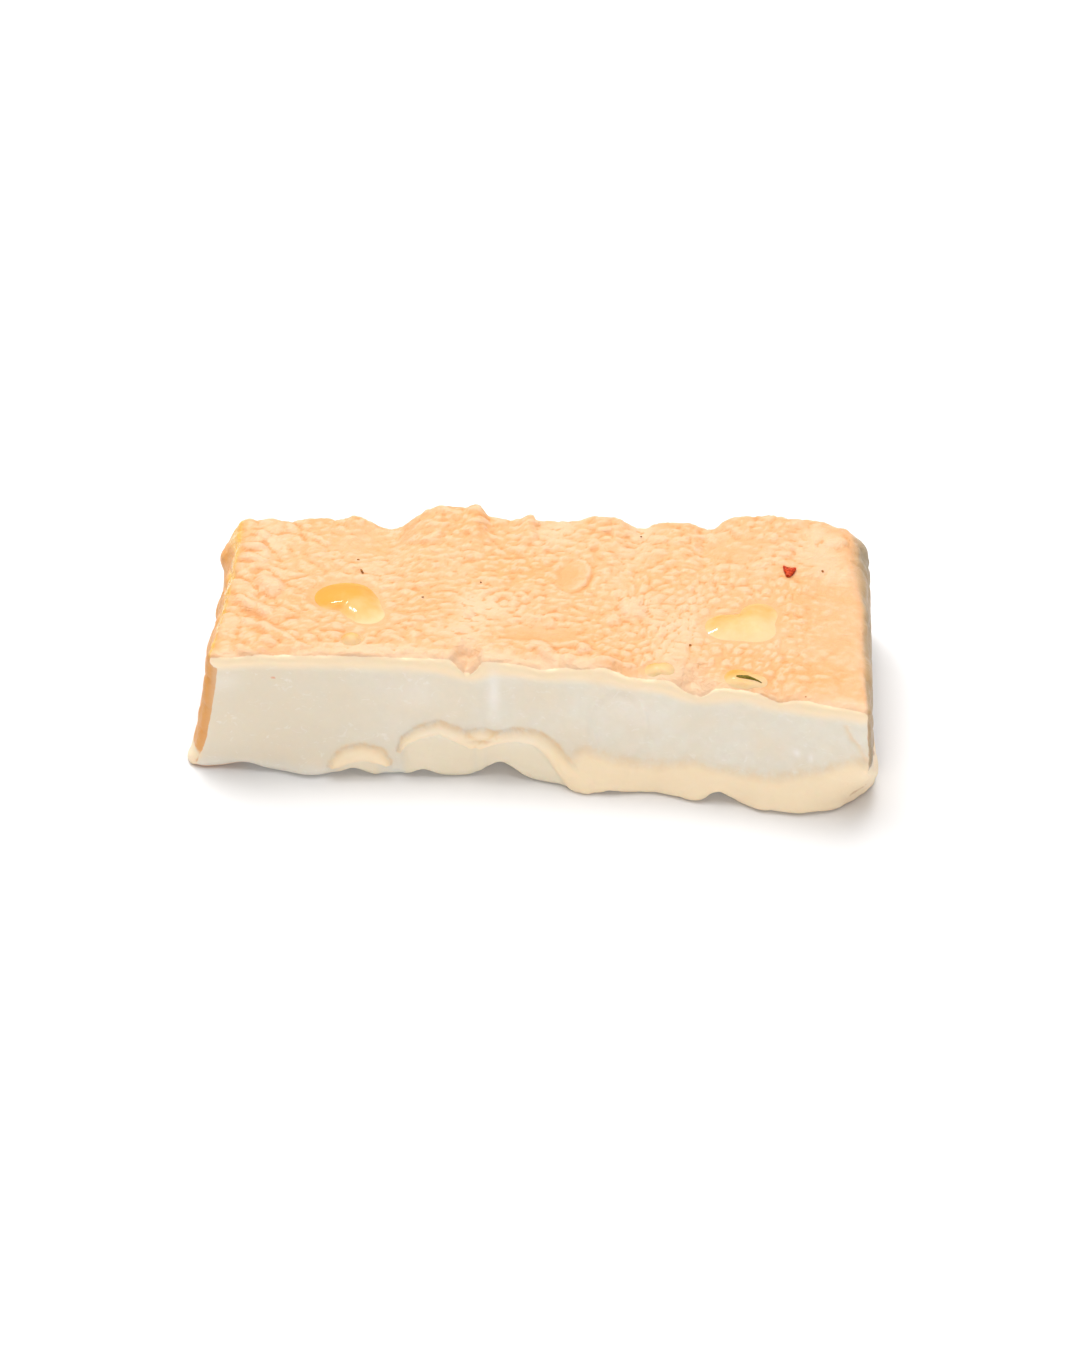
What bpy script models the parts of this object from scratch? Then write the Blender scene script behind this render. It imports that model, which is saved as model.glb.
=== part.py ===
"""Goat cheese brick: one ripened slice with a wrinkled rind on top and a smooth cut face in front.

The slice lies on its broad side along X, with its cut face towards -Y and its rind side up.
The rind laps over the foot of the cut face in soft rolls, and drops of oil lie on the top.
Sizes are in millimetres, and each mesh is scaled to metres as it is made.
The origin is the middle of the box round the slice, on the surface that it stands on.
"""

import math

import bmesh
import bpy
import numpy as np
from mathutils import Matrix, Vector, noise
from mathutils.bvhtree import BVHTree

MM = 0.001

# The working coordinates below have their own origin, and this is the middle of the finished box in them.
MIDDLE = (-0.49, 1.23)

# The slice, as the places of its four upright faces at rim and foot. It tapers a little to the left.
TOP_LEFT_X, TOP_RIGHT_X = -60.0, 61.8
FOOT_LEFT_X, FOOT_RIGHT_X = -64.6, 63.4
FRONT_RIM_Y, BACK_RIM_Y = -19.0, 27.4
FRONT_FOOT_Y, BACK_FOOT_Y = -23.1, 28.3
TAPER = 3.0 / 58
RIGHT_TUCK = 1.4
FRONT_SKEW, FRONT_BOW = -0.033, -1.6e-3
FOOT_SKEW, FOOT_BOW = -0.029, -1.05e-3

# The top is 25 mm up, a little lower at its front right and back left corners and in its middle.
HEIGHT, FRONT_FALL, BACK_FALL, SLUMP = 24.8, 1.0 / 58, 0.2, 0.5

# Radii of the edges. The cut edges are crisp, and the rind's own edges are round, most of all at the right end.
CUT_RIM, CUT_FOOT, RIND_EDGE, RIGHT_EDGE, LEFT_CORNER = 1.5, 1.9, 2.8, 5.4, 3.4

# Bulges of the left side, -1, and the right side, 1: side, y, z, reach, swell.
BULGES = (
    (-1, 19.5, 19.0, 3.5, 2.0), (-1, -8.0, 15.0, 4.0, 0.9), (-1, 6.0, 15.0, 3.0, 0.5), (-1, -21.5, 1.5, 3.5, 1.1),
    (1, -19.0, 5.0, 5.0, 1.1),
)

# Bumps and dents along an edge: x, reach, size. A size below zero is a dent.
BACK_RIM = (
    (-51.0, 2.5, -0.7), (-45.0, 3.5, 0.7), (-38.0, 2.0, 1.4), (-30.0, 4.0, -3.7), (-21.0, 7.8, 5.0),
    (-14.5, 2.0, 2.7), (-4.5, 1.5, 2.1), (9.5, 4.0, 1.6), (17.0, 2.5, -2.1), (30.0, 2.5, -2.9), (40.5, 8.0, 2.2),
    (51.5, 2.0, 0.8),
)
FRONT_DIPS = (
    (-12.5, 2.0, -3.1), (1.0, 3.0, -0.9), (13.0, 2.5, 0.9), (19.0, 3.5, -0.9), (29.5, 3.1, -3.0), (45.0, 2.6, -1.3),
)
FOOT_LOBES = (
    (-65.5, 2.5, -4.3), (-59.0, 4.5, -0.9), (-41.5, 5.0, 1.8), (-29.0, 4.5, 0.5), (-6.5, 6.0, -1.2), (13.0, 6.0, 1.7),
    (30.5, 4.0, 1.2), (43.0, 3.5, 1.7), (49.0, 4.5, 1.4), (66.0, 7.0, -9.5),
)
FOOT_LIFTS = (
    (-54.0, 3.5, 1.5), (-33.5, 3.0, 1.5), (-20.5, 2.5, 1.4), (-6.0, 3.5, 3.0), (15.0, 2.0, 0.6), (35.0, 2.5, 2.2),
)
BACK_LIFTS = ((-38.0, 5.0, 1.6), (3.0, 4.0, 1.4), (44.0, 5.0, 1.2))

# The cut face: the lip of rind along its rim, then rolls of rind over its foot, each with a skirt below it.
LIP_DEPTH, LIP_SWAY, LIP_SWELL = 3.0, 0.6, 0.5
ROLL_SWELL, SKIRT_SWELL, BAND_SWELL = 1.3, 0.55, 0.75
# Each roll runs along a line of places: x, height, half width.
ROLLS = (
    ((-38.4, 1.9, 0.6), (-36.8, 3.0, 1.1), (-34.8, 4.2, 1.5), (-31.9, 4.9, 1.6), (-29.2, 4.5, 1.4),
     (-27.6, 3.4, 0.8)),
    ((-25.0, 5.6, 0.4), (-24.0, 7.6, 0.8), (-21.6, 9.3, 1.1), (-17.6, 10.4, 1.2), (-14.6, 9.2, 1.2),
     (-11.6, 7.7, 1.3), (-9.6, 8.0, 0.7)),
    ((-11.9, 9.0, 0.8), (-9.8, 9.5, 1.0), (-7.6, 9.2, 0.7)),
    ((-10.2, 7.2, 0.7), (-7.2, 8.6, 1.1), (-3.4, 9.6, 1.2), (0.4, 8.9, 1.3), (3.6, 6.6, 1.5), (6.6, 3.4, 1.9),
     (9.6, 1.4, 2.2)),
)
# The top of the thick band of rind on the right, as x and height, and the crease round the right end.
BAND_TOP = (
    (7.0, 6.6), (10.0, 8.2), (18.0, 6.6), (24.0, 6.2), (30.0, 7.6), (40.0, 6.8), (46.0, 7.0), (54.0, 10.0),
    (59.0, 12.6),
)
EAR = (
    (57.7, 19.5, 0.5), (58.6, 17.2, 0.5), (60.2, 15.6, 0.5), (61.0, 13.6, 0.6), (62.4, 12.0, 0.6), (64.0, 10.8, 0.5),
)
EAR_DEPTH = 0.35
DIMPLE_AT, DIMPLE_SIZE, DIMPLE_DEPTH, DIMPLE_RIM = (16.0, 13.6), (5.2, 7.0), 0.3, 0.12
CUT_WAVE, CUT_WAVE_HEIGHT = 11.0, 0.35
BAND_LUMPS, BAND_LUMP_HEIGHT = (7.0, 4.5), 0.35

# The rind on top: lumps as x, y, half length, half width, turn in degrees, height.
LUMPS = (
    (-55.2, 17.6, 1.6, 2.2, 0, 0.8), (-54.9, 9.4, 3.9, 2.6, -22, 0.9), (-56.9, 13.6, 3.8, 1.5, -8, 0.6),
    (-53.5, -5.6, 5.2, 1.9, -41, 0.9), (-50.4, 0.6, 5.2, 2.1, -37, 0.7), (-52.0, -12.4, 5.8, 2.3, -22, 0.8),
    (-49.0, -17.0, 1.9, 2.2, 0, 0.7), (-44.5, -19.0, 3.9, 1.3, -5, 0.5), (-45.6, -15.0, 1.9, 1.7, 0, 0.5),
    (-27.2, -13.0, 2.9, 2.0, 0, 0.6), (17.0, -0.7, 2.8, 4.0, 15, 0.9), (13.4, -3.8, 2.3, 2.5, 0, 0.6),
    (8.9, -14.0, 1.6, 2.0, 0, 0.8), (6.1, -17.2, 1.6, 1.6, 0, 0.7), (1.6, -14.4, 4.2, 1.7, -48, 0.8),
    (1.8, -4.3, 3.8, 0.9, 17, 0.5), (-13.3, -4.6, 1.2, 1.6, 0, 0.5), (54.6, 22.8, 2.5, 3.0, 0, 0.9),
    (12.5, -17.6, 8.0, 0.9, -2, 0.55),
)
FLAP_AT, FLAP_SIZE, FLAP_HEIGHT = (5.6, 8.9), (3.4, 5.2), 0.8
WHORL_AT, WHORL_REACH, WHORL_RING, WHORL_HEIGHT = (-7.3, -0.1), 4.2, 2.3, 0.28
# Places where the rind is smooth: x, y, half length, half width, how smooth.
SMOOTH = (
    (5.6, 8.9, 4.2, 6.2, 0.8), (0.5, -9.8, 8.0, 3.2, 0.7), (-36.0, 17.0, 7.0, 5.0, 0.5), (36.0, 19.0, 8.0, 5.0, 0.5),
)

# Relief repeated all over the rind: length along X and width in mm, and height.
FOLDS, FOLD_HEIGHT = (7.5, 4.6), 1.05
WRINKLES, WRINKLE_HEIGHT = (4.6, 2.4), 0.32
BLISTERS, BLISTER_HEIGHT = (2.9, 2.9), 0.62
SIDE_FOLDS, SIDE_FOLD_HEIGHT = (6.0, 6.0), 0.75
FOLD_SLANT, PATH_DRIFT = 0.5, 2.6

# Drops of oil: discs as x, y, radius, whose joined outline the drop has, then its height over the rind.
DROPS = {
    "oil_pool_left": (
        ((-38.8, -1.2, 4.4), (-36.2, -0.4, 4.5), (-34.4, -2.8, 4.3), (-33.4, -5.0, 3.7), (-32.0, -6.6, 3.2)), 1.1,
    ),
    "oil_pool_right": (((34.4, -4.5, 3.9), (37.2, -4.3, 4.4), (40.9, 0.0, 3.7), (40.6, -4.8, 3.9)), 1.2),
    "oil_drop_rim": (((22.0, -18.2, 1.9), (24.2, -17.9, 1.9)), 0.8),
    "oil_drop_leaf": (((37.4, -19.5, 2.7), (39.4, -20.0, 2.5), (41.6, -20.5, 2.2)), 0.8),
}
SMALL_DROP = (((-34.2, -14.9, 2.1),), 1.0)
BED_LEVEL, BED_RIM, DROP_FALL = 0.3, 1.25, 0.8
DROP_GAP, FUSE_DEPTH = 0.3, 0.4
RINGS, SECTORS = 5, 32

FLAKE_AT, FLAKE_RADIUS, FLAKE_THICK, FLAKE_TURN = (46.0, 12.8), 1.6, 0.8, 20
LEAF_AT, LEAF_LENGTH, LEAF_WIDTH, LEAF_THICK, LEAF_TURN = (39.6, -20.8), 4.8, 0.7, 0.45, -9

CELL, FLAT_WITHIN = 1.0, 0.03
SLICE_TRIANGLES = 11_000


def bumps(along, table):
    """The sum of soft bumps and dents at these places along an edge."""
    total = np.zeros_like(along)
    for middle, reach, size in table:
        total += size * np.exp(-(((along - middle) / reach) ** 2))
    return total


def ease(value, low, high):
    """0 below low, 1 above high, and a smooth step between."""
    share = np.clip((value - low) / (high - low), 0.0, 1.0)
    return share * share * (3 - 2 * share)


# The wandering offsets come from noise that starts at this seed, so they are the same each time.
WANDER_SEED = 4
noise.seed_set(WANDER_SEED)


def drift(points, size, seed):
    """A smooth wandering offset for each point, about 1 long at most along each axis."""
    places = (points / size + seed * 17.3).tolist()
    return np.array([noise.noise_vector(place) for place in places])


def pillows(points, size, seed):
    """Soft pillows side by side: 0 in the fine creases between them and 1 on their crests."""
    long, wide = size
    wandered = points + PATH_DRIFT * drift(points, 9.0, seed) + 0.35 * wide * drift(points, 1.4 * wide, seed + 1)
    places = (wandered / (long, wide, wide) + seed * 7.1).tolist()
    nearest = np.array([noise.voronoi(place)[0][:2] for place in places])
    crease = np.clip((nearest[:, 1] - nearest[:, 0]) / 0.55, 0.0, 1.0)
    return 1 - (1 - crease) ** 2


def oval(points, at, half_size, turn=0.0):
    """How far out of an oval each point is, seen from above: 0 in its middle and 1 on its outline."""
    cos, sin = math.cos(math.radians(turn)), math.sin(math.radians(turn))
    dx, dy = points[:, 0] - at[0], points[:, 1] - at[1]
    return np.hypot((dx * cos + dy * sin) / half_size[0], (dy * cos - dx * sin) / half_size[1])


def front_y(x, rise):
    """The cut face, from its foot at rise 0 to its rim at rise 1."""
    rim = FRONT_RIM_Y + FRONT_SKEW * x + FRONT_BOW * x**2
    foot = FRONT_FOOT_Y + FOOT_SKEW * x + FOOT_BOW * x**2
    lobes = bumps(x, FOOT_LOBES) * (1 - ease(rise, 0.05, 0.5))
    return rim + (foot - rim) * (1 - rise) ** 1.3 - lobes


def back_y(x, rise):
    """The rind behind, with the bumps of its rim running down it."""
    rim = BACK_RIM_Y + TAPER * x + 0.5 * bumps(x, BACK_RIM) * ease(rise, 0.1, 0.9)
    return rim + (BACK_FOOT_Y - BACK_RIM_Y) * (1 - rise)


def top_z(x, depth):
    """The top, where depth is 0 at the cut face and 1 at the back."""
    plane = HEIGHT - FRONT_FALL * x * (1 - depth) + (FRONT_FALL * x - BACK_FALL) * depth
    back = 0.42 * bumps(x, BACK_RIM) * ease(depth, 0.55, 1.0)
    dips = bumps(x, FRONT_DIPS) * (1 - ease(depth, 0.0, 0.16))
    return plane - SLUMP * np.sin(math.pi * depth) + back + dips


def under_z(x, depth):
    """The underside: flat, and lifted off the surface in a few places along its edges."""
    front = bumps(x, FOOT_LIFTS) * (1 - ease(depth, 0.0, 0.2))
    return front + bumps(x, BACK_LIFTS) * ease(depth, 0.85, 1.0)


def rounded(points, half):
    """Moves the points of a plain box onto the same box with round edges, crisp along the cut face."""
    across, depth, rise = (points / half).T
    cut = CUT_FOOT + (CUT_RIM - CUT_FOOT) * ease(rise, 0.0, 0.7)
    cut += (LEFT_CORNER - cut) * ease(-across, 0.93, 0.98) * (1 - ease(np.abs(rise), 0.75, 0.98))
    rind = RIND_EDGE + (RIGHT_EDGE - RIND_EDGE) * ease(across, 0.8, 0.98) * ease(depth, 0.05, 0.5)
    radius = (rind + (cut - rind) * (1 - ease(depth, -0.9, -0.5)))[:, None]
    core = np.clip(points, radius - half, half - radius)
    away = points - core
    return core + radius * away / np.linalg.norm(away, axis=1)[:, None]


def slice_form(points, half):
    """Takes the points of the round-edged box to the slice without its relief."""
    across, depth, rise = points[:, 0] / half[0], (points[:, 1] / half[1] + 1) / 2, (points[:, 2] / half[2] + 1) / 2
    left = TOP_LEFT_X + (FOOT_LEFT_X - TOP_LEFT_X) * (1 - rise) ** (1.3 - 0.8 * depth)
    right = TOP_RIGHT_X - RIGHT_TUCK * depth + (FOOT_RIGHT_X - TOP_RIGHT_X) * (1 - rise) ** 0.8
    x = left + (right - left) * (across + 1) / 2
    y = front_y(x, rise) * (1 - depth) + back_y(x, rise) * depth
    for side, at_y, at_z, reach, swell in BULGES:
        near = np.exp(-((y - at_y) ** 2 + (rise * HEIGHT - at_z) ** 2) / reach**2)
        x += side * swell * near * ease(side * across, 0.7, 1.0)
    low = under_z(x, depth)
    return np.stack([x, y, low + rise * (top_z(x, depth) - low)], 1)


def billows(points, size, seed):
    """Long soft wrinkles: 0 in the narrow creases between them and about 1 on their round crests."""
    long, wide = size
    places = ((points + 0.5 * wide * drift(points, 2.5 * wide, seed)) / (long, wide, wide) + seed * 5.3).tolist()
    height = np.abs(np.array([noise.noise(place) for place in places]))
    return np.clip(height / 0.42, 0.0, 1.0) ** 0.75


def along_line(points, line):
    """How far each point of the cut face is from a line of places, in half widths."""
    x, z = points[:, 0], points[:, 2]
    nearest = np.full(len(points), np.inf)
    for (x0, z0, wide0), (x1, z1, wide1) in zip(line, line[1:]):
        dx, dz = x1 - x0, z1 - z0
        share = np.clip(((x - x0) * dx + (z - z0) * dz) / (dx * dx + dz * dz), 0.0, 1.0)
        across = np.hypot(x - x0 - share * dx, z - z0 - share * dz) / (wide0 + share * (wide1 - wide0))
        nearest = np.minimum(nearest, across)
    return nearest


def cut_relief(points):
    """Relief of the cut face: the lip, the rolls with skirts below them, the band, and slow waves of soft paste."""
    x, z = points[:, 0], points[:, 2]
    wander = drift(points, 7.0, 6)
    soft_dips = [(at_x, 1.7 * reach, 0.55 * size) for at_x, reach, size in FRONT_DIPS]
    lip_foot = top_z(x, np.zeros_like(x)) - bumps(x, FRONT_DIPS) + bumps(x, soft_dips) - LIP_DEPTH
    lip_foot += LIP_SWAY * wander[:, 0]
    lip = ease(z, lip_foot - 1.1, lip_foot + 1.7)
    wavy = points + 0.45 * wander
    rolls, skirt = np.zeros_like(x), np.zeros_like(x)
    for line in ROLLS:
        rolls = np.maximum(rolls, np.clip(1 - along_line(wavy, line) ** 2, 0.0, 1.0) ** 0.7)
        xs, zs = [place[0] for place in line], [place[1] for place in line]
        under = ease(np.interp(x, xs, zs, left=-9.0, right=-9.0) - z, -0.5, 1.5)
        skirt = np.maximum(skirt, under * ease(x, xs[0], xs[0] + 2.0) * (1 - ease(x, xs[-1] - 2.0, xs[-1])))
    band_top = np.interp(wavy[:, 0], [place[0] for place in BAND_TOP], [place[1] for place in BAND_TOP])
    band = ease(x, 5.0, 10.0) * (1 - ease(wavy[:, 2], band_top - 1.6, band_top + 0.8))
    ear = np.exp(-(along_line(wavy, EAR) ** 2))
    from_dimple = np.hypot((x - DIMPLE_AT[0]) / DIMPLE_SIZE[0], (z - DIMPLE_AT[1]) / DIMPLE_SIZE[1])
    dimple = np.exp(-(((from_dimple - 1) / DIMPLE_RIM) ** 2)) * (1 - rolls) * (1 - 0.8 * band)
    swell = LIP_SWELL * lip + ROLL_SWELL * rolls + (SKIRT_SWELL * skirt + BAND_SWELL * band) * (1 - rolls)
    swell += BAND_LUMP_HEIGHT * band * (pillows(points, BAND_LUMPS, 15) - 0.5)
    return swell + CUT_WAVE_HEIGHT * drift(points, CUT_WAVE, 4)[:, 1] - EAR_DEPTH * ear - DIMPLE_DEPTH * dimple


def rind_relief(points):
    """Relief of the rind on top: folds at the left end, wrinkles in the middle, blisters right of it."""
    x, y = points[:, 0], points[:, 1]
    left, right = 1 - ease(x, -47.0, -34.0), ease(x, 43.0, 55.0)
    knobbly = ease(x, 4.0, 18.0) * (1 - right) * (1 - ease(y, 7.0, 17.0))
    streaky = (1 - 0.7 * left) * (1 - 0.75 * knobbly) * (1 - 0.7 * right)
    slanted = points + np.stack([0 * x, FOLD_SLANT * np.minimum(x + 38.0, 0.0), 0 * x], 1)
    relief = FOLD_HEIGHT * (0.3 + 0.7 * left) * (1 - 0.5 * knobbly) * pillows(slanted, FOLDS, 1)
    relief += WRINKLE_HEIGHT * streaky * billows(points, WRINKLES, 5)
    relief += BLISTER_HEIGHT * knobbly * pillows(points, BLISTERS, 9)
    for patch in SMOOTH:
        relief *= 1 - patch[4] * (1 - ease(oval(points, patch[:2], patch[2:4]), 0.6, 1.1))
    for lump in LUMPS:
        relief += lump[5] * np.clip(1 - oval(points, lump[:2], lump[2:4], lump[4]) ** 2, 0.0, 1.0)
    flap = oval(points, FLAP_AT, FLAP_SIZE)
    relief += FLAP_HEIGHT * (1 - ease(flap, 0.82, 1.0)) * ease(x, FLAP_AT[0] - 2.5, FLAP_AT[0] + 1.5)
    ring = np.hypot(x - WHORL_AT[0], y - WHORL_AT[1])
    relief += WHORL_HEIGHT * np.cos(2 * math.pi * ring / WHORL_RING) * np.exp(-((ring / WHORL_REACH) ** 2))
    for discs, _ in [*DROPS.values(), SMALL_DROP]:
        bed = 1 - ease(drop_share(points, discs), 1.0, BED_RIM)
        relief += (BED_LEVEL - relief) * bed
    return relief


def drop_middle(discs):
    """The middle of a drop, weighed by the area of its discs."""
    areas = np.array([radius**2 for _, _, radius in discs])
    return areas @ np.array([disc[:2] for disc in discs]) / areas.sum()


def drop_outline(discs, angles):
    """How far a drop's outline is from its middle in each direction: the discs' own outlines, joined softly."""
    middle = drop_middle(discs)
    ways = np.stack([np.cos(angles), np.sin(angles)], -1)
    total = np.zeros(len(angles))
    for x, y, radius in discs:
        along = ways @ (np.array([x, y]) - middle)
        apart = np.hypot(x - middle[0], y - middle[1])
        total += np.maximum(along + np.sqrt(np.maximum(radius**2 - apart**2 + along**2, 0.0)), 0.0) ** 8
    return total ** (1 / 8)


def drop_share(points, discs):
    """How far out of a drop's outline each point is, seen from above: 0 in its middle and 1 on its outline."""
    away = points[:, :2] - drop_middle(discs)
    angles = np.arctan2(away[:, 1], away[:, 0])
    return np.hypot(away[:, 0], away[:, 1]) / drop_outline(discs, angles)


def relief_of(points, normals):
    """How far each point of the slice moves out along its normal, by the way that it faces."""
    side = np.maximum(1.4 * np.abs(normals[:, 0]), normals[:, 1])
    facing = np.stack([normals[:, 2], -normals[:, 1], side, -normals[:, 2]], 1).clip(0.0) ** 6
    on_top, on_cut, on_side, _ = (facing / facing.sum(1, keepdims=True)).T
    toe = 0.3 * (1 - ease(points[:, 2], 2.0, 6.0))
    on_cut = on_cut * (1 - ease(-normals[:, 0], 0.35 + toe, 0.5 + toe))
    folds = SIDE_FOLD_HEIGHT * (pillows(points, SIDE_FOLDS, 7) - 0.3)
    return on_top * rind_relief(points) + on_cut * cut_relief(points) + on_side * folds


def box_mesh(half, cell):
    """A box from -half to half, with its faces cut into square cells."""
    mesh = bmesh.new()
    bmesh.ops.create_cube(mesh, size=2.0)
    for axis in range(3):
        along = [edge for edge in mesh.edges if abs((edge.verts[0].co - edge.verts[1].co)[axis]) > 1.0]
        bmesh.ops.subdivide_edges(mesh, edges=along, cuts=round(2 * half[axis] / cell) - 1, use_grid_fill=True)
    bmesh.ops.scale(mesh, vec=Vector(half), verts=mesh.verts)
    return mesh


def points_of(mesh):
    return np.array([vert.co for vert in mesh.verts])


def move_to(mesh, points):
    for vert, point in zip(mesh.verts, points):
        vert.co = point


def slice_mesh():
    """The slice at full detail: a box with its edges rounded, brought to its form and given its relief."""
    half = np.array([62.0, 24.0, HEIGHT / 2])
    mesh = box_mesh(half, CELL)
    move_to(mesh, slice_form(rounded(points_of(mesh), half), half))
    mesh.normal_update()
    points, normals = points_of(mesh), np.array([vert.normal for vert in mesh.verts])
    points += normals * relief_of(points, normals)[:, None]
    points[:, 2] = np.maximum(points[:, 2], 0.0)
    move_to(mesh, points)
    return mesh


def level_under(surface, x, y):
    """Height of the surface straight below or above a place."""
    return surface.ray_cast(Vector((x, y, 2 * HEIGHT)), Vector((0, 0, -1)))[0].z


def drop_mesh(discs, height, surface, gap):
    """A drop of oil: a dome whose underside keeps this gap over the surface. Below zero, it goes into it."""
    middle = drop_middle(discs)
    mesh = bmesh.new()
    bmesh.ops.create_uvsphere(mesh, u_segments=SECTORS, v_segments=2 * RINGS, radius=1.0)
    ball = points_of(mesh)
    angles = np.arctan2(ball[:, 1], ball[:, 0])
    out = np.arccos(np.abs(ball[:, 2]).clip(0.0, 1.0)) / (math.pi / 2)
    places = middle + (out * drop_outline(discs, angles))[:, None] * np.stack([np.cos(angles), np.sin(angles)], 1)
    base = np.array([level_under(surface, *place) for place in places])
    base = np.maximum(base, base.max() - DROP_FALL) + gap
    dome = np.where(ball[:, 2] > 0, height * (1 - out**2.2).clip(0.0), 0.0)
    move_to(mesh, np.column_stack([places, base + dome]))
    return mesh


def flake_mesh(surface):
    """A three-cornered flake of chilli, pressed a little way into the rind."""
    mesh = bmesh.new()
    bmesh.ops.create_cone(
        mesh, cap_ends=True, segments=3, radius1=FLAKE_RADIUS, radius2=0.8 * FLAKE_RADIUS, depth=FLAKE_THICK
    )
    bmesh.ops.rotate(mesh, cent=(0, 0, 0), matrix=Matrix.Rotation(math.radians(FLAKE_TURN), 3, "Z"), verts=mesh.verts)
    level = level_under(surface, *FLAKE_AT) + FLAKE_THICK / 2 - FUSE_DEPTH
    bmesh.ops.translate(mesh, vec=Vector((*FLAKE_AT, level)), verts=mesh.verts)
    return mesh


def leaf_mesh(surface):
    """A sliver of herb leaf: a thin wavy blade that narrows to both ends and lies half in the drop."""
    mesh = box_mesh(np.array([LEAF_LENGTH, LEAF_WIDTH, LEAF_THICK]) / 2, LEAF_THICK)
    turn = math.radians(LEAF_TURN)
    for vert in mesh.verts:
        along, across = vert.co.x / LEAF_LENGTH * 2, vert.co.y * (1 - 0.75 * (vert.co.x / LEAF_LENGTH * 2) ** 2)
        x = LEAF_AT[0] + vert.co.x * math.cos(turn) - across * math.sin(turn)
        y = LEAF_AT[1] + vert.co.x * math.sin(turn) + across * math.cos(turn)
        vert.co = x, y, level_under(surface, x, y) + vert.co.z + 0.1 * math.sin(4 * along)
    return mesh


def material(name, colour, roughness):
    """A Principled material of one colour."""
    made = bpy.data.materials.new(name)
    made.use_nodes = True
    shader = made.node_tree.nodes["Principled BSDF"]
    shader.inputs["Base Color"].default_value = (*colour, 1.0)
    shader.inputs["Roughness"].default_value = roughness
    return made


def add_object(name, mesh, finish, collection):
    """Makes an object of a mesh in millimetres, scaled to metres, with its origin in the middle of its foot."""
    points = points_of(mesh)
    low, high = points.min(0), points.max(0)
    foot = Vector(((low[0] + high[0]) / 2, (low[1] + high[1]) / 2, low[2]))
    bmesh.ops.translate(mesh, vec=-foot, verts=mesh.verts)
    bmesh.ops.scale(mesh, vec=Vector((MM, MM, MM)), verts=mesh.verts)
    data = bpy.data.meshes.new(name)
    mesh.to_mesh(data)
    mesh.free()
    data.shade_smooth()
    data.materials.append(finish)
    made = bpy.data.objects.new(name, data)
    made.location = (foot - Vector((*MIDDLE, 0.0))) * MM
    collection.objects.link(made)
    return made


def apply_modifiers(made):
    """Puts the object's modified mesh in place of its own."""
    bpy.context.view_layer.update()
    shaped = bpy.data.meshes.new_from_object(made.evaluated_get(bpy.context.evaluated_depsgraph_get()))
    made.modifiers.clear()
    made.data = shaped


def thin_out(made, triangles):
    """Joins the small faces of a mesh until about this many triangles are left."""
    made.data.calc_loop_triangles()
    fewer = made.modifiers.new("fewer", "DECIMATE")
    fewer.ratio = triangles / len(made.data.loop_triangles)
    apply_modifiers(made)


def set_flat(made):
    """Brings every point that all but touches the ground down or up to it."""
    for vert in made.data.vertices:
        if vert.co.z < FLAT_WITHIN * MM:
            vert.co.z = 0.0


def fuse(made, toppings):
    """Joins the toppings to the object, and removes their own objects."""
    join = made.modifiers.new("toppings", "BOOLEAN")
    join.operation = "UNION"
    join.operand_type = "COLLECTION"
    join.collection = toppings
    join.solver = "EXACT"
    apply_modifiers(made)
    for topping in list(toppings.objects):
        bpy.data.objects.remove(topping)
    bpy.data.collections.remove(toppings)


def new_collection(name):
    made = bpy.data.collections.new(name)
    bpy.context.scene.collection.children.link(made)
    return made


def surface_of(made):
    """The object's surface in millimetres, to set other pieces on."""
    mesh = bmesh.new()
    mesh.from_mesh(made.data)
    bmesh.ops.scale(mesh, vec=Vector((1 / MM, 1 / MM, 1 / MM)), verts=mesh.verts)
    bmesh.ops.translate(mesh, vec=made.location / MM + Vector((*MIDDLE, 0.0)), verts=mesh.verts)
    surface = BVHTree.FromBMesh(mesh)
    mesh.free()
    return surface


for old in list(bpy.data.objects):
    bpy.data.objects.remove(old)

rind = material("ripe_rind", (0.93, 0.66, 0.40), 0.5)
oil = material("golden_oil", (0.90, 0.62, 0.20), 0.12)
chilli = material("dried_chilli", (0.42, 0.03, 0.01), 0.6)
herb = material("herb_leaf", (0.10, 0.09, 0.02), 0.5)

brick = new_collection("goat_cheese_brick")
slab = add_object("cheese_brick", slice_mesh(), rind, brick)
thin_out(slab, SLICE_TRIANGLES)
set_flat(slab)
rind_top = surface_of(slab)

drops = {}
for name, (discs, height) in DROPS.items():
    drops[name] = add_object(name, drop_mesh(discs, height, rind_top, DROP_GAP), oil, brick)

on_leaf_drop = new_collection("toppings_of_the_leaf_drop")
add_object("leaf_sliver", leaf_mesh(surface_of(drops["oil_drop_leaf"])), herb, on_leaf_drop)
fuse(drops["oil_drop_leaf"], on_leaf_drop)

on_slab = new_collection("toppings_of_the_slice")
add_object("chilli_flake", flake_mesh(rind_top), chilli, on_slab)
add_object("small_drop", drop_mesh(*SMALL_DROP, rind_top, -FUSE_DEPTH), oil, on_slab)
fuse(slab, on_slab)
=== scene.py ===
import math

import bmesh
import bpy
import numpy as np
from mathutils import Matrix, Vector, noise
from mathutils.bvhtree import BVHTree


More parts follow.
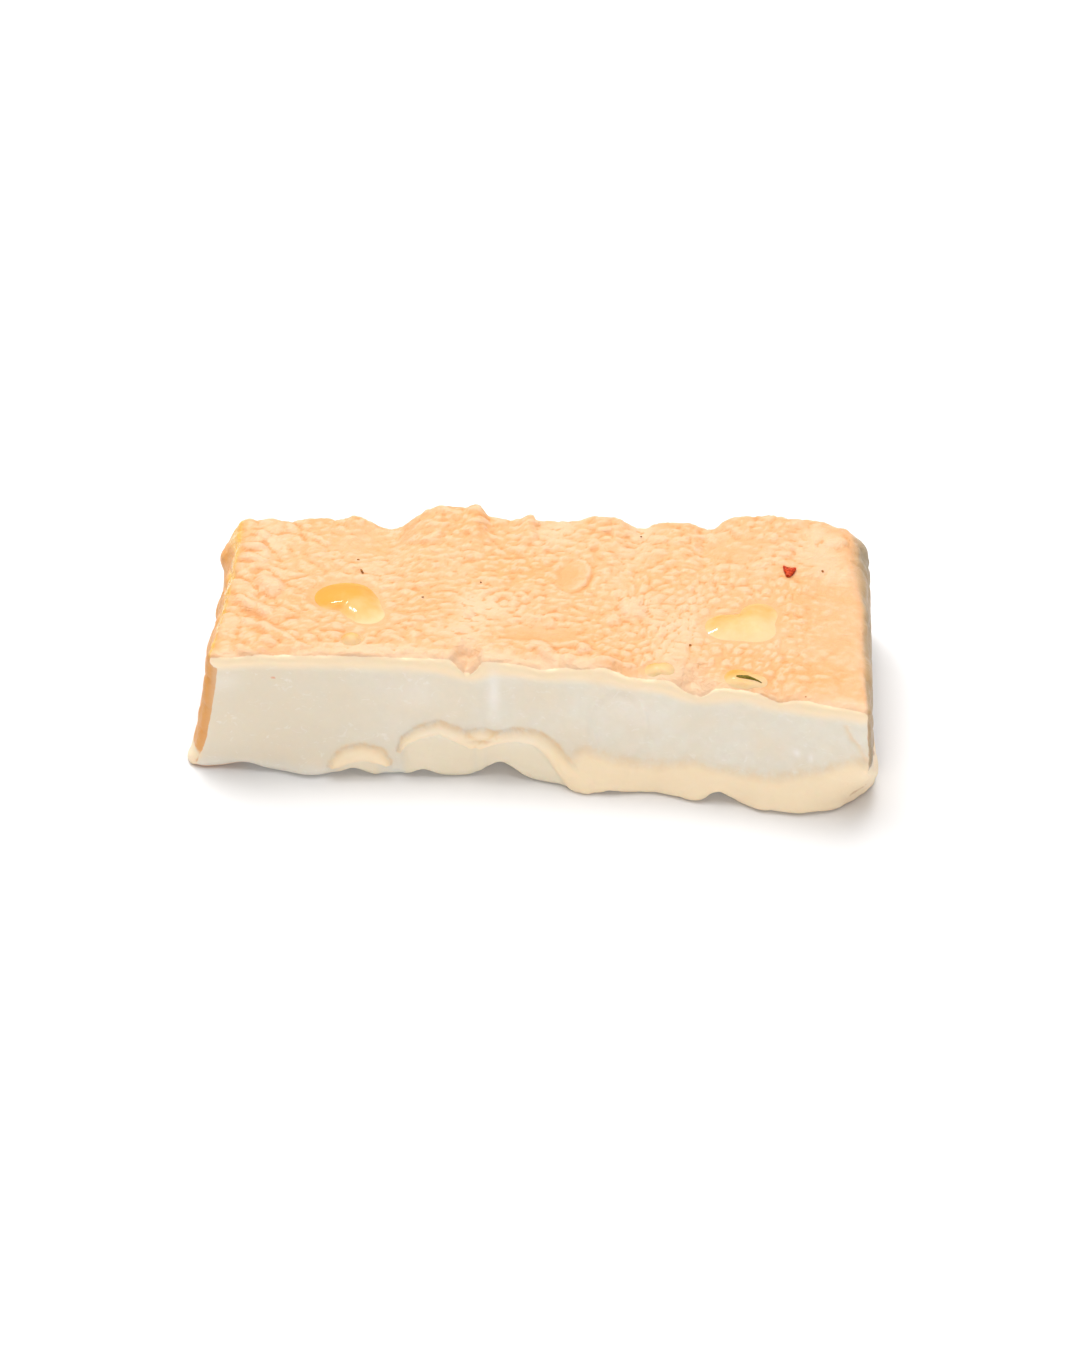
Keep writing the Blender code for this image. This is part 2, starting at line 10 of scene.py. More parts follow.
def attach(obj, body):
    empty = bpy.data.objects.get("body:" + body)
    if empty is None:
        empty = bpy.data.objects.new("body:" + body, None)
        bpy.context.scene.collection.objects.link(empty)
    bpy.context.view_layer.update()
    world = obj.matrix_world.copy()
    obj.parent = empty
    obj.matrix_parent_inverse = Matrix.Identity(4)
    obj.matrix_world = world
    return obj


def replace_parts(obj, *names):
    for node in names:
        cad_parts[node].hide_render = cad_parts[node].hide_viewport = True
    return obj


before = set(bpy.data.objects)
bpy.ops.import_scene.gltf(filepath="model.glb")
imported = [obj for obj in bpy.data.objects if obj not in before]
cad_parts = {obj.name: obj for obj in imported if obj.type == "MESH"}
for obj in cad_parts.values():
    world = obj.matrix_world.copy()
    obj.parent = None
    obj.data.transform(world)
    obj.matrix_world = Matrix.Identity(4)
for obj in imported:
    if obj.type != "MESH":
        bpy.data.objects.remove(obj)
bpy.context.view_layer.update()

MM = 0.001


# The surface and the light
# The slice stands on a plain white table in a photo studio.
# A wide soft light hangs over and behind it, weaker ones hang over it and stand in front of it.
# Two small lights glint on the oil.

def add_node(tree, kind, settings=None, **inputs):
    """Adds a shader node with these settings. An input named A_B stands for the socket called A B."""
    made = tree.nodes.new(kind)
    for name, value in (settings or {}).items():
        setattr(made, name, value)
    for name, value in inputs.items():
        socket = made.inputs[name.replace("_", " ")]
        if isinstance(value, bpy.types.NodeSocket):
            tree.links.new(value, socket)
        else:
            socket.default_value = value
    return made


def new_material(name):
    """A material with nothing in it but its Principled shader. Returns both."""
    made = bpy.data.materials.new(name)
    made.use_nodes = True
    return made, made.node_tree.nodes["Principled BSDF"]


def mix_colours(tree, share, first, second):
    """Mixes two colours by a share that is a number or a socket."""
    mix = tree.nodes.new("ShaderNodeMix")
    mix.data_type = "RGBA"
    for index, value in ((0, share), (6, first), (7, second)):
        if isinstance(value, bpy.types.NodeSocket):
            tree.links.new(value, mix.inputs[index])
        else:
            mix.inputs[index].default_value = value if index == 0 else (*value, 1.0)
    return mix.outputs[2]


def map_range(tree, value, low, high, to_low=0.0, to_high=1.0):
    """Takes a value between low and high to another range, by a smooth step."""
    made = add_node(
        tree, "ShaderNodeMapRange", {"interpolation_type": "SMOOTHSTEP"},
        Value=value, From_Min=low, From_Max=high, To_Min=to_low, To_Max=to_high,
    )
    return made.outputs[0]


def noise_field(tree, place, scale, detail=3.0, roughness=0.5, distortion=0.0):
    """A soft noise from 0 to 1. Scale counts its patches in a metre."""
    made = add_node(
        tree, "ShaderNodeTexNoise", None,
        Vector=place, Scale=scale, Detail=detail, Roughness=roughness, Distortion=distortion,
    )
    return made.outputs[0]


def maths(tree, how, first, second=0.0):
    """One step of arithmetic on numbers or sockets."""
    made = tree.nodes.new("ShaderNodeMath")
    made.operation = how
    for index, value in enumerate((first, second)):
        if isinstance(value, bpy.types.NodeSocket):
            tree.links.new(value, made.inputs[index])
        else:
            made.inputs[index].default_value = value
    return made.outputs[0]


TABLE_REACH = 3.0
TABLE_GREY, TABLE_WHITE = (0.86, 0.86, 0.87), (0.89, 0.89, 0.90)
TABLE_GRAIN = 40.0

table_mesh = bmesh.new()
bmesh.ops.create_grid(table_mesh, x_segments=2, y_segments=2, size=TABLE_REACH)
table_data = bpy.data.meshes.new("table")
table_mesh.to_mesh(table_data)
table_mesh.free()
table = bpy.data.objects.new("table", table_data)
bpy.context.scene.collection.objects.link(table)
table_white, table_shader = new_material("table_white")
table_tree = table_white.node_tree
table_place = add_node(table_tree, "ShaderNodeTexCoord").outputs["Object"]
table_grain = noise_field(table_tree, table_place, TABLE_GRAIN)
table_colour = mix_colours(table_tree, table_grain, TABLE_GREY, TABLE_WHITE)
table_tree.links.new(table_colour, table_shader.inputs["Base Color"])
table_shader.inputs["Roughness"].default_value = 0.8
table_shader.inputs["Specular IOR Level"].default_value = 0.1
table_data.materials.append(table_white)

# The camera looks at this place, from the photograph's own angles.
AIM = Vector((-0.61, 8.37, 0.0)) * MM
CAMERA_TURN, CAMERA_RISE, CAMERA_AWAY = math.radians(4.5), math.radians(38.0), 0.727


def place_facing(made, place, aim):
    """Puts a light or camera at a place and turns it to look at another."""
    made.location = place
    made.rotation_euler = (place - aim).to_track_quat("Z", "Y").to_euler()
    bpy.context.scene.collection.objects.link(made)


lens = bpy.data.cameras.new("view")
lens.sensor_fit = "VERTICAL"
lens.sensor_height = 36.0
lens.lens = 100.0
view = bpy.data.objects.new("view", lens)
away = Vector((
    math.sin(CAMERA_TURN) * math.cos(CAMERA_RISE),
    -math.cos(CAMERA_TURN) * math.cos(CAMERA_RISE),
    math.sin(CAMERA_RISE),
))
place_facing(view, AIM + away * CAMERA_AWAY, AIM)
bpy.context.scene.camera = view


def add_soft_light(name, place, size, power, colour, mirrored=False):
    """Adds a soft light. Only a mirrored one shows as a glint on what is glossy."""
    light = bpy.data.lights.new(name, "AREA")
    light.shape = "RECTANGLE"
    light.size, light.size_y = size
    light.energy = power
    light.color = colour
    made = bpy.data.objects.new(name, light)
    made.visible_glossy = mirrored
    place_facing(made, Vector(place), AIM)


WARM_LIGHT, SOFT_LIGHT, WHITE_LIGHT = (1.0, 0.99, 0.975), (1.0, 0.99, 0.98), (1.0, 1.0, 1.0)
add_soft_light("back", (-0.12, 0.42, 0.85), (0.9, 0.7), 8.7, WARM_LIGHT)
add_soft_light("overhead", (0.0, 0.05, 0.95), (0.9, 0.8), 4.3, SOFT_LIGHT)
add_soft_light("front_fill", (0.1, -0.9, 0.42), (1.2, 0.4), 3.4, SOFT_LIGHT)
add_soft_light("strip", (-0.26, 0.43, 0.62), (0.16, 0.05), 0.6, WHITE_LIGHT, mirrored=True)
add_soft_light("spot", (-0.05, -0.12, 0.75), (0.03, 0.03), 0.1, WHITE_LIGHT, mirrored=True)

studio = bpy.data.worlds.new("studio")
studio.use_nodes = True
studio.node_tree.nodes["Background"].inputs["Color"].default_value = (1.0, 0.995, 0.985, 1.0)
studio.node_tree.nodes["Background"].inputs["Strength"].default_value = 0.22
bpy.context.scene.world = studio
bpy.context.scene.view_settings.view_transform = "Standard"


# The slice of cheese
# A slab of ripened goat cheese, soft ivory paste inside a thin wrinkled rind of pale orange.
# It was cut along its front, and the rind laps over the foot of the cut in soft rolls.

# All sizes are in millimetres, as in the solid, and MIDDLE is the middle of the solid's box.
MIDDLE = (-0.49, 1.23)
TOP_LEFT_X, TOP_RIGHT_X = -60.0, 61.8
FOOT_LEFT_X, FOOT_RIGHT_X = -64.6, 63.4
FRONT_RIM_Y, BACK_RIM_Y = -19.0, 27.4
FRONT_FOOT_Y, BACK_FOOT_Y = -23.1, 28.3
TAPER = 3.0 / 58
RIGHT_TUCK = 1.4
FRONT_SKEW, FRONT_BOW = -0.033, -1.6e-3
FOOT_SKEW, FOOT_BOW = -0.029, -1.05e-3
HEIGHT, FRONT_FALL, BACK_FALL, SLUMP = 24.8, 1.0 / 58, 0.2, 0.5
# Half the length and depth of the plain box that the slice is bent from, then the radii of its edges.
HALF_LENGTH, HALF_DEPTH = 62.0, 24.0
CUT_RIM, CUT_FOOT, RIND_EDGE, RIGHT_EDGE = 1.5, 1.9, 2.8, 5.4
LEFT_CORNER = 3.4
# Where these radii change, in shares of the box from -1 to 1: each pair is the start and the end of a change.
CUT_EDGE_CHANGE, RIM_CHANGE = (-0.9, -0.5), (0.0, 0.7)
CORNER_CHANGE, CORNER_END = (0.93, 0.98), (0.75, 0.98)
RIGHT_CHANGE, RIGHT_START = (0.8, 0.98), (0.05, 0.5)
# How the cut face and the two ends curve out to their feet: powers of the way down.
CUT_CURVE, RIGHT_CURVE = 1.3, 0.8
LEFT_CURVE, LEFT_CURVE_FALL = 1.3, 0.8
# Bulges of the left side, -1, and the right side, 1: side, y, z, reach, swell.
BULGES = (
    (-1, 19.5, 19.0, 3.5, 2.0), (-1, -8.0, 15.0, 4.0, 0.9), (-1, 6.0, 15.0, 3.0, 0.5),
    (-1, -21.5, 1.5, 3.5, 1.1), (1, -19.0, 5.0, 5.0, 1.1),
)

# Bumps and dents along an edge: x, reach, size. A size below zero is a dent.
BACK_RIM = (
    (-51.0, 2.5, -0.7), (-45.0, 3.5, 0.7), (-38.0, 2.0, 1.4), (-30.0, 4.0, -3.7),
    (-21.0, 7.8, 5.0), (-14.5, 2.0, 2.7), (-4.5, 1.5, 2.1), (9.5, 4.0, 1.6),
    (17.0, 2.5, -2.1), (30.0, 2.5, -2.9), (40.5, 8.0, 2.2), (51.5, 2.0, 0.8),
)
FRONT_DIPS = (
    (-12.5, 2.0, -3.1), (1.0, 3.0, -0.9), (13.0, 2.5, 0.9),
    (19.0, 3.5, -0.9), (29.5, 3.1, -3.0), (45.0, 2.6, -1.3),
)
FOOT_LOBES = (
    (-65.5, 2.5, -4.3), (-59.0, 4.5, -0.9), (-41.5, 5.0, 1.8), (-29.0, 4.5, 0.5), (-6.5, 6.0, -1.2),
    (13.0, 6.0, 1.7), (30.5, 4.0, 1.2), (43.0, 3.5, 1.7), (49.0, 4.5, 1.4), (66.0, 7.0, -9.5),
)
FOOT_LIFTS = (
    (-54.0, 3.5, 1.5), (-33.5, 3.0, 1.5), (-20.5, 2.5, 1.4),
    (-6.0, 3.5, 3.0), (15.0, 2.0, 0.6), (35.0, 2.5, 2.2),
)
BACK_LIFTS = ((-38.0, 5.0, 1.6), (3.0, 4.0, 1.4), (44.0, 5.0, 1.2))
# Where they fade, in shares of the height or the depth: the start and the end of each change.
LOBE_FADE, BACK_FADE = (0.05, 0.5), (0.1, 0.9)
TOP_BACK_FADE, DIP_FADE = (0.55, 1.0), (0.0, 0.16)
FOOT_LIFT_FADE, BACK_LIFT_FADE = (0.0, 0.2), (0.85, 1.0)
# How far the bumps of the back rim stand out and up, in shares of their size as seen in the photograph.
BACK_BUMP_OUT, BACK_BUMP_UP = 0.5, 0.42

# The lip of rind along the top of the cut: how far it hangs, how much its edge sways, how far it stands out.
LIP_DEPTH, LIP_SWAY, LIP_SWELL = 3.0, 0.6, 0.5
ROLL_SWELL, SKIRT_SWELL, BAND_SWELL = 1.6, 0.55, 0.75
# Rolls of rind over the foot of the cut, each along a line of places: x, height, half width.
ROLLS = (
    (
        (-37.8, 2.4, 0.5), (-36.8, 3.0, 1.1), (-34.8, 4.2, 1.5),
        (-31.9, 4.9, 1.6), (-29.2, 4.5, 1.4), (-27.6, 3.4, 0.8),
    ),
    (
        (-25.0, 5.6, 0.4), (-24.0, 7.6, 0.8), (-21.6, 9.3, 1.1), (-17.6, 10.4, 1.2),
        (-14.6, 9.2, 1.2), (-11.6, 7.7, 1.3), (-9.6, 8.0, 0.7),
    ),
    ((-11.9, 9.0, 0.8), (-9.8, 9.5, 1.0), (-7.6, 9.2, 0.7)),
    (
        (-10.2, 7.2, 0.7), (-7.2, 8.6, 1.1), (-3.4, 9.6, 1.2), (0.4, 8.9, 1.3),
        (3.6, 6.6, 1.5), (6.6, 3.4, 1.9), (9.6, 1.4, 2.2),
    ),
)
# The top of the thick cream band on the right, as x and height, and where along X the band fades in.
BAND_TOP = (
    (7.0, 6.6), (10.0, 8.2), (18.0, 6.6), (24.0, 6.2), (30.0, 7.6),
    (40.0, 6.8), (46.0, 7.0), (54.0, 10.0), (59.0, 12.6),
)
BAND_START = (5.0, 10.0)
# A curved groove at the right end of the cut: x, height, half width.
EAR = (
    (57.7, 19.5, 0.5), (58.6, 17.2, 0.5), (60.2, 15.6, 0.5),
    (61.0, 13.6, 0.6), (62.4, 12.0, 0.6), (64.0, 10.8, 0.5),
)
EAR_DEPTH = 0.35
# How far a paler and smoother strip of rind reaches from the rim of the cut.
RIM_CREAM = 2.5
# A faint ring pressed into the cut face.
DIMPLE_AT, DIMPLE_SIZE, DIMPLE_DEPTH, DIMPLE_LINE = (16.0, 13.6), (5.2, 7.0), 0.3, 0.12
CUT_WAVE, CUT_WAVE_HEIGHT = 11.0, 0.35
BAND_LUMPS, BAND_LUMP_HEIGHT = (7.0, 4.5), 0.35

# Lumps of the rind on top: x, y, half length, half width, turn in degrees, height.
LUMPS = (
    (-55.2, 17.6, 1.6, 2.2, 0, 0.8), (-54.9, 9.4, 3.9, 2.6, -22, 0.9), (-56.9, 13.6, 3.8, 1.5, -8, 0.6),
    (-53.5, -5.6, 5.2, 1.9, -41, 0.9), (-50.4, 0.6, 5.2, 2.1, -37, 0.7), (-52.0, -12.4, 5.8, 2.3, -22, 0.8),
    (-49.0, -17.0, 1.9, 2.2, 0, 0.7), (-44.5, -18.2, 3.9, 1.3, -5, 0.4), (-45.6, -15.0, 1.9, 1.7, 0, 0.5),
    (-27.2, -13.0, 2.9, 2.0, 0, 0.6), (17.0, -0.7, 2.8, 4.0, 15, 0.9), (13.4, -3.8, 2.3, 2.5, 0, 0.6),
    (8.9, -14.0, 1.6, 2.0, 0, 0.8), (6.1, -17.2, 1.6, 1.6, 0, 0.7), (1.6, -14.4, 4.2, 1.7, -48, 0.8),
    (1.8, -4.3, 3.8, 0.9, 17, 0.5), (-13.3, -4.6, 1.2, 1.6, 0, 0.5), (54.6, 22.8, 2.5, 3.0, 0, 0.6),
    (12.5, -17.4, 8.0, 1.1, -2, 0.4),
)
# A smooth round flap, and a whorl of rings left of it.
FLAP_AT, FLAP_SIZE, FLAP_HEIGHT = (5.6, 8.9), (3.4, 5.2), 0.65
WHORL_AT, WHORL_REACH, WHORL_RING, WHORL_HEIGHT = (-7.3, -0.1), 4.2, 2.3, 0.24
# Places where the rind is smooth: x, y, half length, half width, how smooth.
SMOOTH = (
    (5.6, 8.9, 4.2, 6.2, 0.8), (0.5, -9.8, 8.0, 3.2, 0.7),
    (-36.0, 17.0, 7.0, 5.0, 0.5), (36.0, 19.0, 8.0, 5.0, 0.5),
)
# Folds gather toward the two dents of the front rim: x, y, reach, number of folds in a whole turn, depth.
GATHERS = ((-12.6, -21.0, 6.5, 13, 0.4), (28.8, -22.5, 5.0, 11, 0.45))

# Relief repeated all over the rind: length along X and width in mm, and height.
FOLDS, FOLD_HEIGHT = (7.5, 5.2), 1.0
WRINKLES, WRINKLE_HEIGHT = (4.6, 2.4), 0.32
RIPPLES, RIPPLE_HEIGHT = (3.2, 1.6), 0.24
BLISTERS, BLISTER_HEIGHT = (2.0, 2.2), 0.55
CRINKLES, CRINKLE_HEIGHT = (2.5, 1.5), 0.34
SIDE_FOLDS, SIDE_FOLD_HEIGHT = (6.0, 6.0), 0.75
# How much the folds slant left of this x, and how far all pillows wander from straight rows.
FOLD_SLANT, SLANT_START, PATH_DRIFT = 0.5, -38.0, 2.6
# Zones of the top, each as the start and the end of a change: the coarse left part, the smooth right end,
# and the knobbly part between them, along X and toward the back.
LEFT_ZONE, RIGHT_ZONE = (-52.0, -36.0), (43.0, 55.0)
KNOBBLY_START, KNOBBLY_BACK = (4.0, 18.0), (7.0, 17.0)
# How wide the creases are between pillows and between billows, against their size.
PILLOW_CREASE, BILLOW_CREASE = 0.45, 0.42

# Drops of oil: discs as x, y, radius, whose joined outline the drop has, then its height over the rind.
DROPS = {
    "oil_pool_left": (
        (
            (-38.8, -1.2, 4.4), (-36.2, -0.4, 4.5), (-34.4, -2.8, 4.3),
            (-33.4, -5.0, 3.7), (-32.0, -6.6, 3.2),
        ),
        1.1,
    ),
    "oil_pool_right": (
        ((34.4, -4.5, 3.9), (37.2, -4.3, 4.4), (40.9, 0.0, 3.7), (40.6, -4.8, 3.9)),
        1.2,
    ),
    "oil_drop_rim": (((22.0, -18.2, 1.9), (24.2, -17.9, 1.9)), 0.8),
    "oil_drop_leaf": (((37.4, -19.5, 2.7), (39.4, -20.0, 2.5), (41.4, -20.0, 1.9)), 0.8),
}
SMALL_DROP = (((-34.2, -14.9, 2.1),), 1.3)
# The rind is level under a drop, out to this many times the drop's own outline.
BED_LEVEL, BED_RIM = 0.3, 1.25
# The higher this power, the crisper are the notches where a drop's discs meet.
DISC_JOIN = 8

# How long, deep and high the cells of the mesh are.
FINE_CELLS, QUICK_CELLS = (0.44, 0.56, 0.38), (0.9, 0.9, 0.9)
# How far round a point the level of the rind is taken, and the height over it that counts as a full crest.
CREST_REACH, CREST_RANGE = 1.4, 0.42


def bumps(along, table):
    """The sum of soft bumps and dents at these places along an edge."""
    total = np.zeros_like(along)
    for middle, reach, size in table:
        total += size * np.exp(-(((along - middle) / reach) ** 2))
    return total


def ease(value, low, high):
    """0 below low, 1 above high, and a smooth step between."""
    share = np.clip((value - low) / (high - low), 0.0, 1.0)
    return share * share * (3 - 2 * share)


# The wandering offsets come from noise that starts at this seed, so they are the same each time.
WANDER_SEED = 4
noise.seed_set(WANDER_SEED)


def drift(points, size, seed):
    """A smooth wandering offset for each point, about 1 long at most along each axis."""
    places = (points / size + seed * 17.3).tolist()
    return np.array([noise.noise_vector(place) for place in places])


def pillows(points, size, seed):
    """Soft pillows side by side: 0 in the fine creases between them and 1 on their crests."""
    long, wide = size
    wandered = points + PATH_DRIFT * drift(points, 9.0, seed)
    wandered = wandered + 0.2 * wide * drift(points, 1.4 * wide, seed + 1)
    places = (wandered / (long, wide, wide) + seed * 7.1).tolist()
    nearest = np.array([noise.voronoi(place)[0][:2] for place in places])
    dome = (1 - nearest[:, 0] ** 3).clip(0.0)
    crease = np.clip((nearest[:, 1] - nearest[:, 0]) / PILLOW_CREASE, 0.0, 1.0)
    return dome * (0.35 + 0.65 * (1 - (1 - crease) ** 2))


def oval(points, at, half_size, turn=0.0):
    """How far out of an oval each point is, seen from above: 0 in its middle and 1 on its outline."""
    cos, sin = math.cos(math.radians(turn)), math.sin(math.radians(turn))
    dx, dy = points[:, 0] - at[0], points[:, 1] - at[1]
    return np.hypot((dx * cos + dy * sin) / half_size[0], (dy * cos - dx * sin) / half_size[1])


def front_y(x, rise):
    """The cut face, from its foot at rise 0 to its rim at rise 1."""
    rim = FRONT_RIM_Y + FRONT_SKEW * x + FRONT_BOW * x**2
    foot = FRONT_FOOT_Y + FOOT_SKEW * x + FOOT_BOW * x**2
    lobes = bumps(x, FOOT_LOBES) * (1 - ease(rise, *LOBE_FADE))
    return rim + (foot - rim) * (1 - rise) ** CUT_CURVE - lobes


def back_y(x, rise):
    """The rind behind, with the bumps of its rim running down it."""
    rim = BACK_RIM_Y + TAPER * x + BACK_BUMP_OUT * bumps(x, BACK_RIM) * ease(rise, *BACK_FADE)
    return rim + (BACK_FOOT_Y - BACK_RIM_Y) * (1 - rise)


def top_z(x, depth):
    """The top, where depth is 0 at the cut face and 1 at the back."""
    plane = HEIGHT - FRONT_FALL * x * (1 - depth) + (FRONT_FALL * x - BACK_FALL) * depth
    back = BACK_BUMP_UP * bumps(x, BACK_RIM) * ease(depth, *TOP_BACK_FADE)
    dips = bumps(x, FRONT_DIPS) * (1 - ease(depth, *DIP_FADE))
    return plane - SLUMP * np.sin(math.pi * depth) + back + dips


def under_z(x, depth):
    """The underside: flat, and lifted off the surface in a few places along its edges."""
    front = bumps(x, FOOT_LIFTS) * (1 - ease(depth, *FOOT_LIFT_FADE))
    return front + bumps(x, BACK_LIFTS) * ease(depth, *BACK_LIFT_FADE)


def rounded(points, half):
    """Moves the points of a plain box onto the same box with round edges, crisp along the cut face."""
    across, depth, rise = (points / half).T
    cut = CUT_FOOT + (CUT_RIM - CUT_FOOT) * ease(rise, *RIM_CHANGE)
    cut += (LEFT_CORNER - cut) * ease(-across, *CORNER_CHANGE) * (1 - ease(np.abs(rise), *CORNER_END))
    rind = RIND_EDGE + (RIGHT_EDGE - RIND_EDGE) * ease(across, *RIGHT_CHANGE) * ease(depth, *RIGHT_START)
    radius = (rind + (cut - rind) * (1 - ease(depth, *CUT_EDGE_CHANGE)))[:, None]
    core = np.clip(points, radius - half, half - radius)
    away = points - core
    return core + radius * away / np.linalg.norm(away, axis=1)[:, None]


def slice_form(points, half):
    """Takes the points of the round-edged box to the slice without its relief."""
    across = points[:, 0] / half[0]
    depth, rise = (points[:, 1] / half[1] + 1) / 2, (points[:, 2] / half[2] + 1) / 2
    left = TOP_LEFT_X + (FOOT_LEFT_X - TOP_LEFT_X) * (1 - rise) ** (LEFT_CURVE - LEFT_CURVE_FALL * depth)
    right = TOP_RIGHT_X - RIGHT_TUCK * depth + (FOOT_RIGHT_X - TOP_RIGHT_X) * (1 - rise) ** RIGHT_CURVE
    x = left + (right - left) * (across + 1) / 2
    y = front_y(x, rise) * (1 - depth) + back_y(x, rise) * depth
    for side, at_y, at_z, reach, swell in BULGES:
        near = np.exp(-((y - at_y) ** 2 + (rise * HEIGHT - at_z) ** 2) / reach**2)
        x += side * swell * near * ease(side * across, 0.7, 1.0)
    low = under_z(x, depth)
    return np.stack([x, y, low + rise * (top_z(x, depth) - low)], 1)


def billows(points, size, seed):
    """Long soft wrinkles: 0 in the narrow creases between them and about 1 on their round crests."""
    long, wide = size
    wandered = points + 0.5 * wide * drift(points, 2.5 * wide, seed)
    places = (wandered / (long, wide, wide) + seed * 5.3).tolist()
    height = np.abs(np.array([noise.noise(place) for place in places]))
    return np.clip(height / BILLOW_CREASE, 0.0, 1.0) ** 0.75


def along_line(points, line):
    """How far each point of the cut face is from a line of places, in half widths: below 0 under the line."""
    x, z = points[:, 0], points[:, 2]
    nearest = np.full(len(points), 9.0)
    for (x0, z0, wide0), (x1, z1, wide1) in zip(line, line[1:]):
        dx, dz = x1 - x0, z1 - z0
        share = np.clip(((x - x0) * dx + (z - z0) * dz) / (dx * dx + dz * dz), 0.0, 1.0)
        across = np.hypot(x - x0 - share * dx, z - z0 - share * dz) / (wide0 + share * (wide1 - wide0))
        side = np.where((z - z0) * dx > (x - x0) * dz, across, -across)
        nearest = np.where(across < np.abs(nearest), side, nearest)
    return nearest


def drop_middle(discs):
    """The middle of a drop, weighed by the area of its discs."""
    areas = np.array([radius**2 for _, _, radius in discs])
    return areas @ np.array([disc[:2] for disc in discs]) / areas.sum()


def drop_outline(discs, angles):
    """How far a drop's outline is from its middle in each direction: its discs' outlines, joined softly."""
    middle = drop_middle(discs)
    ways = np.stack([np.cos(angles), np.sin(angles)], -1)
    total = np.zeros(len(angles))
    for x, y, radius in discs:
        along = ways @ (np.array([x, y]) - middle)
        apart = np.hypot(x - middle[0], y - middle[1])
        reach = along + np.sqrt(np.maximum(radius**2 - apart**2 + along**2, 0.0))
        total += np.maximum(reach, 0.0) ** DISC_JOIN
    return total ** (1 / DISC_JOIN)


def drop_share(points, discs):
    """How far out in a drop each point is, seen from above: 0 in its middle and 1 on its outline."""
    away = points[:, :2] - drop_middle(discs)
    angles = np.arctan2(away[:, 1], away[:, 0])
    return np.hypot(away[:, 0], away[:, 1]) / drop_outline(discs, angles)


def cut_relief(points):
    """Relief of the cut face, then how far each point is cream rind, seam and skirt under a roll."""
    x, z = points[:, 0], points[:, 2]
    wander = drift(points, 7.0, 6)
    soft_dips = [(at_x, 1.7 * reach, 0.55 * size) for at_x, reach, size in FRONT_DIPS]
    lip_foot = top_z(x, np.zeros_like(x)) - bumps(x, FRONT_DIPS) + bumps(x, soft_dips) - LIP_DEPTH
    lip_foot += LIP_SWAY * wander[:, 0]
    lip = ease(z, lip_foot - 1.1, lip_foot + 1.7)
    wavy = points + 0.45 * wander
    rolls, seams, skirt = np.zeros_like(x), np.zeros_like(x), np.zeros_like(x)
    for line in ROLLS:
        across = along_line(wavy, line)
        rolls = np.maximum(rolls, np.clip(1 - across**2, 0.0, 1.0) ** 0.7)
        seams = np.maximum(seams, np.exp(-(((across - 1.1) / 0.3) ** 2)))
        xs, zs = [place[0] for place in line], [place[1] for place in line]
        under = ease(np.interp(x, xs, zs, left=-9.0, right=-9.0) - z, -0.5, 1.5)
        skirt = np.maximum(skirt, under * ease(x, xs[0], xs[0] + 2.0) * (1 - ease(x, xs[-1] - 2.0, xs[-1])))
    band_top = np.interp(wavy[:, 0], [place[0] for place in BAND_TOP], [place[1] for place in BAND_TOP])
    in_band = ease(x, *BAND_START)
    band = in_band * (1 - ease(wavy[:, 2], band_top - 1.6, band_top + 0.8))
    ear = np.exp(-(along_line(wavy, EAR) ** 2))
    out = np.hypot((x - DIMPLE_AT[0]) / DIMPLE_SIZE[0], (z - DIMPLE_AT[1]) / DIMPLE_SIZE[1])
    dimple = np.exp(-(((out - 1) / DIMPLE_LINE) ** 2))
    waves = CUT_WAVE_HEIGHT * drift(points, CUT_WAVE, 4)[:, 1]
    bare = (1 - rolls) * (1 - 0.8 * band)
    lumps = BAND_LUMP_HEIGHT * band * (pillows(points, BAND_LUMPS, 15) - 0.5)
    relief = LIP_SWELL * lip + waves + ROLL_SWELL * rolls
    relief = relief + SKIRT_SWELL * skirt * (1 - rolls) + BAND_SWELL * band * (1 - rolls)
    relief -= EAR_DEPTH * ear + DIMPLE_DEPTH * dimple * bare - lumps
    cream = np.maximum(lip, np.maximum(ease(rolls, 0.0, 0.7), 0.95 * band))
    band_edge = 0.5 * np.exp(-((wavy[:, 2] - band_top) ** 2)) * in_band
    seam = np.maximum(np.maximum(seams * (1 - band), band_edge), 0.6 * ear)
    return relief, cream, seam, skirt * (1 - rolls)


